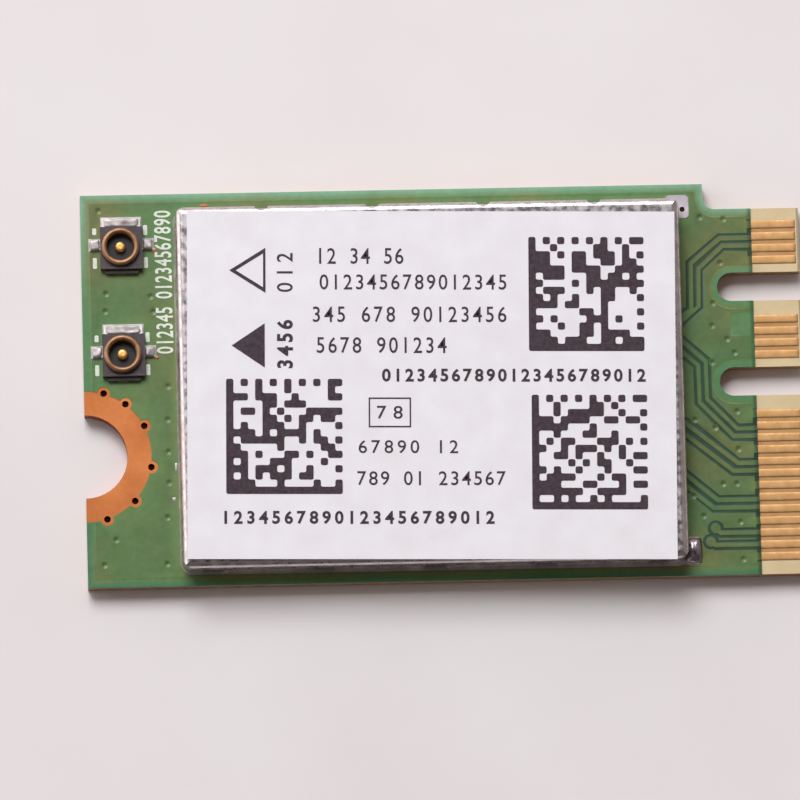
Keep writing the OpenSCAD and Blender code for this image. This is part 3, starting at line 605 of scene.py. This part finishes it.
def pull_in(x, y):
    """A point of the land around the can, moved so that less of the land shows beside the wall."""
    reach = LAND_MARGIN + LAND_SLACK
    under_can = CAN_LO.x < x < CAN_HI.x and CAN_LO.y < y < CAN_HI.y
    if under_can or not CAN_LO.x - reach <= x <= CAN_HI.x + reach:
        return x, y
    shift = LAND_MARGIN - LAND_SHOWN
    bend = CAN_CORNER_R + LAND_MARGIN
    moved_x, moved_y = x, y
    if x < CAN_LO.x + CAN_CORNER_R:
        moved_x += shift * min(1, (CAN_LO.x + CAN_CORNER_R - x) / bend)
    elif x > CAN_HI.x + LAND_MARGIN / 2 and abs(y) < CAN_HI.y - CORNER_LAND_Y:
        moved_x -= shift
    if y > CAN_HI.y - CAN_CORNER_R and x < CAN_HI.x - CORNER_LAND_BACK:
        moved_y -= shift * min(1, (y - CAN_HI.y + CAN_CORNER_R) / bend)
    elif y < CAN_LO.y + CAN_CORNER_R and x < CAN_HI.x - CORNER_LAND_FRONT:
        moved_y += shift / 2 * min(1, (CAN_LO.y + CAN_CORNER_R - y) / bend)
    return moved_x, moved_y


# Where the mask's outline follows the card's own edge
PAD_MIDDLE_Y = (PAD_LO.y + PAD_HI.y) / 2
PAD_REACH = PAD_HI.x - PAD_LO.x + 0.1
EDGE_SLACK = 0.05
TONGUE_L = 4.6
PARTS_X = 10.0
CORNER_LAND_X = 10.9


def flat_faces(node, z):
    """The faces of a CAD node that lie flat at that height, as rings of XY points in mm."""
    mesh = nodes[node].data
    found = []
    for polygon in mesh.polygons:
        corners = [mesh.vertices[i].co / MM for i in polygon.vertices]
        if polygon.normal.z > FACING_UP and all(abs(c.z - z) < HEIGHT_SLACK for c in corners):
            found.append([tuple(round(c, 4) for c in pull_in(p.x, p.y)) for p in corners])
    return found


def rim(faces):
    """Edges that only one of the faces has, with that face on their left."""
    edges = set()
    for face in faces:
        for a, b in zip(face, face[1:] + face[:1]):
            if (b, a) in edges:
                edges.discard((b, a))
            else:
                edges.add((a, b))
    return edges


def chains(edges):
    """Edges joined end to end, as lists of points; a closed one ends where it starts."""
    following = {}
    for a, b in sorted(edges):
        following.setdefault(a, []).append(b)
    ends = {b for _, b in edges}
    found = []
    while following:
        start = min(set(following) - ends or following)
        chain = [start]
        while chain[-1] in following:
            choices = following[chain[-1]]
            chain.append(choices.pop())
            if not choices:
                del following[chain[-2]]
            if chain[-1] == start:
                break
        found.append(chain)
    return found


def beside(chain, distance):
    """The chain moved sideways, to its left where the distance is positive."""
    closed = chain[0] == chain[-1]
    points = [Vector(p) for p in (chain[:-1] if closed else chain)]
    moved = []
    for i, p in enumerate(points):
        before = points[i - 1] if i or closed else None
        after = points[(i + 1) % len(points)] if i < len(points) - 1 or closed else None
        sides = []
        for a, b in ((before, p), (p, after)):
            if a is not None and b is not None and (b - a).length > 1e-6:
                sides.append(Vector((a.y - b.y, b.x - a.x)).normalized())
        side = sum(sides, Vector((0, 0)))
        if side.length < 1e-3:
            continue
        side.normalize()
        moved.append(p + side * distance / max(0.5, side.dot(sides[0])))
    return moved


def inside(points, edges):
    """Which points lie inside the region that the edges bound."""
    a, b = edges[:, 0], edges[:, 1]
    result = np.zeros(len(points), bool)
    for start in range(0, len(points), AT_ONCE):
        some = slice(start, start + AT_ONCE)
        x, y = points[some, 0:1], points[some, 1:2]
        spans = (a[:, 1] > y) != (b[:, 1] > y)
        with np.errstate(divide="ignore", invalid="ignore"):
            cross = a[:, 0] + (y - a[:, 1]) * (b[:, 0] - a[:, 0]) / (b[:, 1] - a[:, 1])
        result[some] = ((spans & (x < cross)).sum(1) % 2).astype(bool)
    return result


def nearest(points, edges):
    """Distance from each point to the nearest edge, and the direction of that distance's growth."""
    a, b = edges[:, 0], edges[:, 1]
    along = b - a
    square = (along ** 2).sum(1)
    left = np.stack([-along[:, 1], along[:, 0]], 1) / np.sqrt(square)[:, None]
    distance, away = np.zeros(len(points)), np.zeros((len(points), 2))
    for start in range(0, len(points), AT_ONCE):
        some = slice(start, start + AT_ONCE)
        p = points[some, None, :]
        t = np.clip(((p - a) * along).sum(2) / square, 0, 1)
        gap = p - (a + t[..., None] * along)
        lengths = np.sqrt((gap ** 2).sum(2))
        best = lengths.argmin(1)
        rows = np.arange(len(best))
        near = lengths[rows, best]
        distance[some] = near
        apart = gap[rows, best] / np.maximum(near, TINY)[:, None]
        away[some] = np.where(near[:, None] > ON_EDGE, apart, left[best])
    return distance, away


def smooth(t):
    t = np.clip(t, 0, 1)
    return t * t * (3 - 2 * t)


def dimples(lines):
    """Centres of the small round gaps along the lines, also where only part of a circle is there."""
    found = []
    for line in lines:
        points = [Vector(p) for p in line]
        if line[0] == line[-1]:
            points.append(points[1])
        for a, b, c in zip(points, points[1:], points[2:]):
            circle = arc_circle(a, b, c)
            if circle is None or abs(circle[1] - DIMPLE_R) >= DIMPLE_SLACK:
                continue
            if all((circle[0] - f).length > DIMPLES_APART for f in found):
                found.append(circle[0])
    return [tuple(f) for f in found]


def arc_circle(a, b, c):
    """Centre and radius of the circle through three points of a fine, even arc."""
    ab, bc = b - a, c - b
    if ab.length > ARC_STEP or abs(ab.length - bc.length) > ARC_UNEVEN * ab.length:
        return None
    doubled = 2 * (ab.x * (c - a).y - ab.y * (c - a).x)
    if abs(doubled) < TINY:
        return None
    p, q = ab.length_squared, (c - a).length_squared
    offset = Vector(((c - a).y * p - ab.y * q, ab.x * q - (c - a).x * p)) / doubled
    return a + offset, offset.length


class Relief:
    """Shape of the mask's surface: where copper ends under it and where covered vias dent it."""

    def __init__(self):
        raised = flat_faces("top_solder_mask", MASK_TOP)
        sunken = flat_faces("top_solder_mask", MASK_TOP - SUNK)
        self.outline = rim(raised + sunken)
        raised_rim = rim(raised)
        steps = raised_rim - self.outline
        self.steps = chains(steps)
        self.bowls = dimples(self.steps)
        self.outline_edges = np.array(sorted(self.outline))
        self.raised_edges = np.array(sorted(raised_rim))
        self.step_edges = np.array(sorted(steps))

    def surface(self, points, over_copper):
        """Height, normal and share of copper at points that lie over copper or beside it."""
        distance, away = nearest(points, self.step_edges)
        sign = np.where(over_copper, 1.0, -1.0)
        on_edge = distance < ON_EDGE
        t = np.clip(sign * distance / (STEP_SPREAD * STEP_HALF) + 0.5, 0, 1)
        drop = STEP_DROP * (1 - smooth(t))
        slope = STEP_DROP * 3 * t * (1 - t) / STEP_HALF
        gradient = slope[:, None] * away * np.where(on_edge, 1.0, sign)[:, None]
        copper = smooth((sign * distance - GAP_SPREAD) / STEP_HALF)
        for centre in self.bowls:
            offset = points - centre
            r = np.sqrt((offset ** 2).sum(1))
            share = np.clip(1 - (r / BOWL_R) ** 2, 0, 1)
            near = r < BOWL_R
            drop[near] = BOWL_DEPTH * share[near] ** 2
            gradient[near] = (4 * BOWL_DEPTH / BOWL_R ** 2 * share[:, None] * offset)[near]
            copper[near] = 1 - BOWL_BARE * share[near]
        normals = np.stack([-gradient[:, 0], -gradient[:, 1], np.ones(len(points))], 1)
        return MASK_TOP - drop, normals / np.linalg.norm(normals, axis=1)[:, None], copper

    def card_edges(self):
        """The edges of the outline that follow the card's own edge."""
        middle = self.outline_edges.mean(1)
        x, y = middle.T
        notch = np.sqrt((x - CORE_LO.x) ** 2 + (y - PAD_MIDDLE_Y) ** 2)
        opening = np.abs(x) < CORE_HI.x - TONGUE_L
        opening |= (x < -PARTS_X) & (x > CORE_LO.x + EDGE_SLACK)
        opening |= (x > PARTS_X) & (x < CORNER_LAND_X)
        opening &= np.abs(y) < CORE_HI.y - EDGE_SLACK
        keep = (notch > PAD_REACH) & (x < MASK_HI.x - EDGE_SLACK / 5) & ~opening
        return self.outline_edges[keep]


def make_mask():
    relief = Relief()
    points, edges = [], []

    def add_chain(chain, closed):
        first = len(points)
        points.extend(Vector(p) for p in chain)
        edges.extend((first + i, first + i + 1) for i in range(len(chain) - 1))
        if closed:
            edges.append((len(points) - 1, first))

    for chain in chains(relief.outline):
        add_chain(chain[:-1] if chain[0] == chain[-1] else chain, chain[0] == chain[-1])
    for chain in relief.steps:
        closed = chain[0] == chain[-1]
        add_chain(chain[:-1] if closed else chain, closed)
        for distance in (-STEP_HALF, STEP_HALF):
            add_chain(beside(chain, distance), closed)
    for centre in relief.bowls:
        for r in BOWL_RINGS:
            turns = [2 * math.pi * i / BOWL_SIDES for i in range(BOWL_SIDES)]
            add_chain([Vector(centre) + Vector((math.cos(t), math.sin(t))) * r for t in turns], True)
        points.append(Vector(centre))
    made, _, triangles, _, _, _ = delaunay_2d_cdt(points, edges, [], 0, 1e-5)
    flat = np.array([tuple(p) for p in made])
    triangles = np.array([list(t) for t in triangles])
    centres = flat[triangles].mean(1)
    kept = inside(centres, relief.outline_edges)
    triangles, centres = triangles[kept], centres[kept]
    over_copper = np.zeros(len(flat), bool)
    over_copper[triangles[inside(centres, relief.raised_edges)].ravel()] = True
    heights, normals, copper = relief.surface(flat, over_copper)
    edge_distance, _ = nearest(flat, relief.card_edges())
    rim_share = 1 - np.clip(edge_distance / RIM_W, 0, 1)
    low, high = CLEAR_BOX
    clear = (copper < 0.5) & (flat > low).all(1) & (flat < high).all(1)
    rim_share[clear] = CLEAR_RIM
    vertices = [(p[0], p[1], z) for p, z in zip(flat, heights)]
    faces = [tuple(int(i) for i in t) for t in triangles]
    normals = [tuple(n) for n in normals]
    copper, rim_share = list(copper), list(rim_share)
    wall_edges = rim([[int(i) for i in t] for t in triangles])
    for a, b in wall_edges:
        along = Vector(flat[b]) - Vector(flat[a])
        out = Vector((along.y, -along.x)).normalized()
        first = len(vertices)
        for i in (a, b):
            for z in (heights[i], MASK_LO.z):
                vertices.append((flat[i][0], flat[i][1], z))
                normals.append((out.x, out.y, 0))
                copper.append(0.0)
                rim_share.append(rim_share[i])
        faces.append((first, first + 1, first + 3, first + 2))
    piece = add_piece("mask_relief", vertices, faces, MASK, "solder_mask", "top_solder_mask", normals=normals)
    for name, values in (("copper", copper), ("rim", rim_share)):
        layer = piece.data.attributes.new(name, "FLOAT", "POINT")
        layer.data.foreach_set("value", np.array(values, np.float32))


# Print on the label: plain figures, two pointers, a frame and three fields of squares


def sheet_place(node):
    """The frame of a turned rectangular sheet: its lower left corner, with X along its length."""
    corners = np.array([v.co for v in nodes[node].data.vertices]) / MM
    lower_left = corners[(corners[:, 0] + corners[:, 1]).argmin()]
    lower_right = corners[(corners[:, 0] - corners[:, 1]).argmax()]
    turn = math.atan2(lower_right[1] - lower_left[1], lower_right[0] - lower_left[0])
    return Matrix.Translation((lower_left[0], lower_left[1], 0)) @ Matrix.Rotation(turn, 4, "Z")


def rectangle(x, y, length, width):
    return [(x, y), (x + length, y), (x + length, y + width), (x, y + width)]


def pointer(x, y, length, width):
    return [(x, y), (x + length, y - width / 2), (x + length, y + width / 2)]


def rounded(loop, radius, steps=3):
    """The loop with each corner cut by a short arc."""
    result = []
    count = len(loop)
    for i in range(count):
        a, p, b = (Vector(loop[(i + k) % count]) for k in (-1, 0, 1))
        r = min(radius, (a - p).length / 2, (b - p).length / 2)
        start, end = p + (a - p).normalized() * r, p + (b - p).normalized() * r
        for k in range(steps + 1):
            t = k / steps
            result.append(tuple((1 - t) ** 2 * start + 2 * t * (1 - t) * p + t * t * end))
    return result


def cell_loops(filled):
    """Outlines of the filled cells of a grid, corners only."""
    edges = set()
    for x, y in filled:
        corners = [(x, y), (x + 1, y), (x + 1, y + 1), (x, y + 1)]
        for i, (dx, dy) in enumerate(((0, -1), (1, 0), (0, 1), (-1, 0))):
            if (x + dx, y + dy) not in filled:
                edges.add((corners[i], corners[(i + 1) % 4]))
    following = {}
    for a, b in edges:
        following.setdefault(a, []).append(b)
    loops = []
    while following:
        start = min(following)
        loop, heading = [start], None
        while True:
            choices = following[loop[-1]]
            step = choices[0]
            if len(choices) > 1 and heading:
                left = (-heading[1], heading[0])
                here = loop[-1]
                step = next((c for c in choices if (c[0] - here[0], c[1] - here[1]) == left), step)
            choices.remove(step)
            if not choices:
                del following[loop[-1]]
            heading = (step[0] - loop[-1][0], step[1] - loop[-1][1])
            if step == start:
                break
            loop.append(step)
        turns = [p for i, p in enumerate(loop)
                 if (p[0] - loop[i - 1][0]) * (loop[(i + 1) % len(loop)][1] - p[1])
                 != (p[1] - loop[i - 1][1]) * (loop[(i + 1) % len(loop)][0] - p[0])]
        loops.append(turns)
    return loops


CELLS = 16
CELL_ROUND = 0.3
FILLED_SHARE = 0.43


def code_field(ink, x, y, side, seed):
    """A square field of scattered cells with a solid edge on two sides and dots on the others."""
    draw = random.Random(seed)
    last = CELLS - 1
    inner = range(1, last)
    filled = {(i, 0) for i in range(CELLS)} | {(0, i) for i in range(CELLS)}
    filled |= {(i, last) for i in range(0, CELLS, 2)} | {(last, i) for i in range(1, CELLS, 2)}
    filled |= {(i, j) for i in inner for j in inner if draw.random() < FILLED_SHARE}
    size = side / CELLS
    ink.outlines([rounded([(x + i * size, y + j * size) for i, j in loop], size * CELL_ROUND)
                  for loop in cell_loops(filled)])


FIGURE_W = 0.8
FIGURE_WEIGHT = 0.004
LABEL_ROWS = (
    ("12 34 56", 5.40, 12.38, 0.66, 0.47),
    ("0123456789012345", 5.54, 11.30, 0.63, 0.495),
    ("345 678 90123456", 5.21, 9.93, 0.65, 0.515),
    ("5678 901234", 5.38, 8.63, 0.66, 0.505),
    ("67890 12", 7.10, 4.43, 0.54, 0.54),
    ("789 01 234567", 7.08, 3.09, 0.58, 0.482),
)
BOLD_ROWS = (
    ("01234567890123456789012", 8.12, 7.43, 0.54, 0.482),
    ("1234567890123456789012", 1.42, 1.47, 0.54, 0.522),
)
UPRIGHT_ROWS = (("012", 4.49, 11.07, 0.63, 0.85, FIGURE_WEIGHT), ("3456", 4.49, 7.88, 0.555, 0.8, 0.03))
UPRIGHT_H = 0.66
BOLD_WEIGHT = 0.028
BOLD_W = 0.72
FRAME = (7.62, 5.51, 1.76, 1.25)
FRAME_LINE = 0.06
FRAMED_ROW = ("78", 7.82, 5.87, 0.54, 0.68, 0.85)
OPEN_POINTER = (1.86, 12.1, 1.5, 1.9)
POINTER_HOLE = (2.12, 12.1, 1.14, 1.43)
FULL_POINTER = (1.95, 8.94, 1.37, 1.86)
CODE_FIELDS = ((14.3, 8.72, 4.8), (1.71, 2.72, 4.82), (14.39, 2.08, 4.8))


def make_label_print():
    ink = Print(sheet_place("label"), PRINT_LO.z, PRINT_HI.z)
    for text, x, y, height, pitch in LABEL_ROWS:
        ink.figures(text, x, y, height, pitch, FIGURE_W, weight=FIGURE_WEIGHT)
    for text, x, y, height, pitch in BOLD_ROWS:
        ink.figures(text, x, y, height, pitch, BOLD_W, weight=BOLD_WEIGHT)
    for text, x, y, pitch, width, weight in UPRIGHT_ROWS:
        ink.figures(text, x, y, UPRIGHT_H, pitch, width, weight=weight, turn=90)
    ink.figures(*FRAMED_ROW, weight=FIGURE_WEIGHT)
    x, y, length, width = FRAME
    inner = rectangle(x + FRAME_LINE, y + FRAME_LINE, length - 2 * FRAME_LINE, width - 2 * FRAME_LINE)
    ink.outlines([rectangle(*FRAME), inner])
    ink.outlines([pointer(*OPEN_POINTER), pointer(*POINTER_HOLE)])
    ink.outlines([pointer(*FULL_POINTER)])
    for i, (x, y, side) in enumerate(CODE_FIELDS):
        code_field(ink, x, y, side, SEED + i)
    ink.finish("label_figures", DARK_INK, "dark_ink", "label_print")


LABEL_TRIM = 0.1


def make_label():
    """The CAD's label, a little shorter at its left end."""
    def trim(x, y):
        return (x + LABEL_TRIM if x < 0 else x), y

    moved_copy("trimmed_label", "label", trim, LABEL_FILM, "label_stock")


# Contact fingers, softly crowned across their width and drawn down at their tips

HALF_CROWN = ((0.5, 0.3), (0.46, 0.72), (0.36, 0.9), (0.2, 0.98))
CROWN = [(-across, rise) for across, rise in HALF_CROWN] + [(0.0, 1.0), *reversed(HALF_CROWN)]
TIP_STEPS = ((0.0, 1.0), (0.9, 1.0), (0.97, 0.9), (0.99, 0.6), (1.0, 0.1))


def make_fingers():
    vertices, faces = [], []
    height = FINGER_HI.z - FINGER_LO.z
    length = FINGER_HI.x - FINGER_LO.x
    for low, high in finger_edges("top_contact_fingers"):
        first = len(vertices)
        for along, share in TIP_STEPS:
            for across, rise in CROWN:
                z = FINGER_LO.z + height * min(rise, share)
                vertices.append((FINGER_LO.x + length * along, (low + high) / 2 + (high - low) * across, z))
        faces += grid_faces(len(TIP_STEPS), len(CROWN), first)
    piece = add_piece("crowned_fingers", vertices, faces, FINGER_GOLD, "gold_finger", "top_contact_fingers")
    piece.data.shade_smooth()


# White legend on the card: ticks beside the jacks and two rows of plain figures

TICK_W = 0.17
TICK_X = 1.06
TICK_ROUND = 0.05
TICKS = ((-1, 0.72, 0.28), (1, 0.75, 0.42), (-1, -0.62, 0.46), (1, -0.62, 0.46))
LEGEND_X = -11.24
LEGEND_H, LEGEND_W, LEGEND_WEIGHT = 0.7, 0.62, 0.016
LEGEND_ROWS = (("012345", 1.5, 0.335), ("01234567890", 3.82, 0.342))


def make_legend():
    ink = Print(Matrix.Identity(4), MARK_LO.z, MARK_HI.z)
    for jack in JACKS:
        x, y = JACK_AT[jack]
        for side, offset, length in TICKS:
            corner = rectangle(x + side * TICK_X - TICK_W / 2, y + offset - length / 2, TICK_W, length)
            ink.outlines([rounded(corner, TICK_ROUND)])
    for text, y, pitch in LEGEND_ROWS:
        ink.figures(text, LEGEND_X, y, LEGEND_H, pitch, LEGEND_W, weight=LEGEND_WEIGHT, turn=90)
    ink.finish("white_legend", WHITE_INK, "white_ink", "silkscreen")


# Solder that has run up the can's foot and over the jacks' feet

FILLET_W = 0.065
FILLET_H = 0.2
FILLET_STEP = 0.07
SLOT_PITCH = 4.62
SLOT_SHIFT = 0.02
SLOT_FADE = 0.15
BACK_SLOTS = (-1.5, -0.5, 0.5, 1.5)
BACK_SLOT_HALF = 0.38
FOOT_SLOTS = (-2, -1, 0, 1, 2)
FOOT_SLOT_HALF = 0.5
BY_WALL = 0.2
CORNER_STEPS = 8
FILLET_WAVES = ((1.3, 3.0, 1.0), (4, 9.0, 0.6))
FILLET_LIFT = 0.002
FILLET_PROFILE = ((1.0, 0.02), (0.72, 0.16), (0.4, 0.42), (0.14, 0.75), (0.0, 1.0))


def make_lands():
    """The CAD's tinned lands, narrower beside the can."""
    moved_copy("tinned_lands", "solder_lands", pull_in, LAND_TIN, "solder")


def can_path():
    """Points along the can's foot, each with the direction that points outward there."""
    x0, x1, y0, y1, r = CAN_LO.x, CAN_HI.x, CAN_LO.y, CAN_HI.y, CAN_CORNER_R
    corners = ((x1 - r, y0 + r, -90), (x1 - r, y1 - r, 0), (x0 + r, y1 - r, 90), (x0 + r, y0 + r, 180))
    stations = []
    for i, (cx, cy, start) in enumerate(corners):
        for k in range(CORNER_STEPS + 1):
            a = math.radians(start + 90 * k / CORNER_STEPS)
            stations.append((Vector((cx, cy)) + r * Vector((math.cos(a), math.sin(a))), a))
        nx, ny, following = corners[(i + 1) % 4]
        a = math.radians(following)
        end = Vector((nx, ny)) + r * Vector((math.cos(a), math.sin(a)))
        begin = stations[-1][0]
        count = int((end - begin).length / FILLET_STEP)
        stations += [(begin.lerp(end, k / count), a) for k in range(1, count)]
    return stations


def clear_share(p):
    """0 where the can's wall is open at the foot, 1 well away from it."""
    middle = (CAN_LO.x + CAN_HI.x) / 2 + SLOT_SHIFT
    if abs(p.y - CAN_LO.y) < BY_WALL:
        slots, half = FOOT_SLOTS, FOOT_SLOT_HALF
    elif abs(p.y - CAN_HI.y) < BY_WALL:
        slots, half = BACK_SLOTS, BACK_SLOT_HALF
    else:
        return 1.0
    gap = min(abs(p.x - middle - i * SLOT_PITCH) for i in slots) - half
    return min(1.0, max(0.0, gap / SLOT_FADE))


def make_can_fillet():
    vertices, faces = [], []
    base = LANDS_HI.z + FILLET_LIFT
    stations = can_path()
    for p, a in stations:
        out = Vector((math.cos(a), math.sin(a)))
        wave = sum(part * noise.noise(Vector((p.x * often, p.y * often, layer)))
                   for often, layer, part in FILLET_WAVES)
        width = FILLET_W * (1 + 0.12 * wave)
        height = FILLET_H * (1 + 0.45 * wave) * clear_share(p)
        for across, up in FILLET_PROFILE:
            spot = p + out * (width * across)
            vertices.append((spot.x, spot.y, base + height * up))
    ring = len(FILLET_PROFILE)
    count = len(stations)
    for i in range(count):
        j = (i + 1) % count
        for k in range(ring - 1):
            faces.append((i * ring + k, j * ring + k, j * ring + k + 1, i * ring + k + 1))
    piece = add_piece("can_fillet", vertices, faces, SOLDER, "solder")
    piece.data.shade_smooth()


MOUND_LUMPS = 0.3
MOUND_ROUND = 0.6
MOUND_CORNER = 0.1


def dome(x, y, length, width, low, height, seed, power=6, steps=16):
    """Vertices and faces of a soft mound of solder on a rectangular foot."""
    vertices = []
    for i in range(steps + 1):
        for j in range(steps + 1):
            u, v = 2 * i / steps - 1, 2 * j / steps - 1
            rise = ((1 - abs(u) ** power) * (1 - abs(v) ** power)) ** MOUND_ROUND
            spot = Vector((x + u * length / 2, y + v * width / 2, seed))
            rise *= 1 + MOUND_LUMPS * noise.noise(spot * 4)
            pull = 1 - MOUND_CORNER * (abs(u) * abs(v)) ** 2
            vertices.append((x + u * length / 2 * pull, y + v * width / 2 * pull, low + height * rise))
    return vertices, grid_faces(steps + 1, steps + 1)


# Mounds of solder as X, Y, length, width; a jack's are placed from its pin and give a height too
JACK_MOUNDS = (
    (-1.05, 0.14, 0.46, 0.5, 0.17),
    (1.15, 0.14, 0.46, 0.5, 0.17),
    (0.05, 1.065, 1.68, 0.43, 0.14),
)
BLOB = (10.19, -7.2, 0.72, 1.1)
BLOB_H = 0.3
COPPER_SPECKS = ((-11.97, 5.89, 0.24, 0.22), (-11.93, 1.36, 0.18, 0.16), (-9.83, 7.73, 0.4, 0.12))
SOLDER_SPECKS = ((-11.35, -4.6, 0.16, 0.16), (-11.24, -3.25, 0.1, 0.34))
SPECK_H = 0.02
SPECK_SUNK = 0.003


def add_mounds(name, mounds, material, slot, **shape):
    """One piece made of soft mounds, each given as the arguments of dome."""
    vertices, faces = [], []
    for mound in mounds:
        some, sides = dome(*mound, **shape)
        faces += [tuple(i + len(vertices) for i in f) for f in sides]
        vertices += some
    add_piece(name, vertices, faces, material, slot).data.shade_smooth()


def make_corner_blob():
    """Solder gathered beside the can's corner."""
    add_mounds("corner_solder", [(*BLOB, LANDS_HI.z, BLOB_H, 5)], DULL_SOLDER, "solder", power=2)


def make_specks():
    """Small bare spots of copper and stray solder on the mask."""
    low = MASK_TOP - SPECK_SUNK
    for name, material, slot, spots in (
        ("copper_specks", ETCHED_COPPER, "copper", COPPER_SPECKS),
        ("solder_specks", SOLDER, "solder", SOLDER_SPECKS),
    ):
        mounds = [(*spot, low, SPECK_H, k) for k, spot in enumerate(spots)]
        add_mounds(name, mounds, material, slot, power=2, steps=8)


def make_jack_solder():
    """Solder over the two side feet and the back bar of each jack."""
    for jack in JACKS:
        x, y = JACK_AT[jack]
        mounds = [(x + dx, y + dy, length, width, LANDS_HI.z, height, k + y)
                  for k, (dx, dy, length, width, height) in enumerate(JACK_MOUNDS)]
        add_mounds(jack + "_solder", mounds, SOLDER, "solder")


make_mask()
make_label()
make_label_print()
make_legend()
make_fingers()
make_lands()
make_can_fillet()
make_jack_solder()
make_corner_blob()
make_specks()


# Camera, light and floor

FRAME_PX = 800
CAMERA_DISTANCE = 400
CAMERA_ROLL, CAMERA_TILT, CAMERA_PAN = 0.0267, -0.15, 0.0444
PX_PER_MM = 24.028
AIM = Vector((-1.867, -0.627, 0.8))
SENSOR = 36


def make_camera():
    data = bpy.data.cameras.new("camera")
    camera = put("camera", data)
    turn = (
        Matrix.Rotation(CAMERA_ROLL, 3, "Z")
        @ Matrix.Rotation(CAMERA_TILT, 3, "X")
        @ Matrix.Rotation(CAMERA_PAN, 3, "Y")
    ).transposed()
    place = AIM + turn @ Vector((0, 0, CAMERA_DISTANCE))
    camera.matrix_world = Matrix.Translation(place * MM) @ turn.to_4x4()
    data.sensor_width = SENSOR
    data.lens = SENSOR * CAMERA_DISTANCE * PX_PER_MM / FRAME_PX
    data.clip_start = 0.01
    data.clip_end = 10
    bpy.context.scene.camera = camera


LAMP_DISTANCE = 0.5
LAMPS = (
    ("soft_lamp", Vector((-0.2, 0.6, 0.78)), 0.26, 2.32, (0.935, 0.975, 1.0)),
    ("side_lamp", Vector((-0.9, 0.28, 0.37)), 0.3, 0.45, (1.0, 0.97, 0.96)),
)
ROOM = (0.45, 0.4, 0.38)
BRIGHT_SIDE = Vector((-0.45, 0.8, 0.1))
ACROSS = (-0.8, 0.9, 0.15, 1.7)
OVERHEAD = (0.76, 0.95, 1.0, 0.1)


def make_lamps():
    for name, source, size, power, colour in LAMPS:
        lamp = bpy.data.lights.new(name, "AREA")
        lamp.shape = "SQUARE"
        lamp.size = size
        lamp.energy = power
        lamp.color = colour
        holder = put(name, lamp)
        holder.location = source.normalized() * LAMP_DISTANCE
        holder.rotation_euler = source.to_track_quat("Z", "Y").to_euler()


def make_room():
    """Light from all around, brightest behind on the left and dim overhead."""
    world = bpy.data.worlds.new("room")
    bpy.context.scene.world = world
    world.use_nodes = True
    tree = world.node_tree
    coords = tree.nodes.new("ShaderNodeTexCoord").outputs["Generated"]
    toward = tree.nodes.new("ShaderNodeVectorMath")
    toward.operation = "DOT_PRODUCT"
    toward.inputs[1].default_value = BRIGHT_SIDE.normalized()
    tree.links.new(coords, toward.inputs[0])
    split = tree.nodes.new("ShaderNodeSeparateXYZ")
    tree.links.new(coords, split.inputs[0])
    strength = tree.nodes.new("ShaderNodeMath")
    strength.operation = "MULTIPLY"
    tree.links.new(ranged(tree, toward.outputs["Value"], ACROSS), strength.inputs[0])
    tree.links.new(ranged(tree, split.outputs["Z"], OVERHEAD), strength.inputs[1])
    background = tree.nodes["Background"]
    background.inputs["Color"].default_value = ROOM + (1,)
    tree.links.new(strength.outputs[0], background.inputs["Strength"])


FLOOR_HALF = 0.5


def make_floor():
    mesh = bpy.data.meshes.new("floor")
    corners = rectangle(-FLOOR_HALF, -FLOOR_HALF, 2 * FLOOR_HALF, 2 * FLOOR_HALF)
    mesh.from_pydata([(x, y, 0) for x, y in corners], [], [(0, 1, 2, 3)])
    floor = put("floor", mesh)
    look = Look("pale_sheet", rough=0.7, specular=0.2)
    look.colour(look.ramp(look.noise(14, detail=4.0), (0.3, (226, 219, 219)), (0.7, (232, 226, 226))))
    look.bump(look.noise(0.9, detail=3.0), 0.004)
    mesh.materials.append(look.material)


make_camera()
make_lamps()
make_room()
make_floor()

bpy.context.scene.view_settings.view_transform = "Standard"
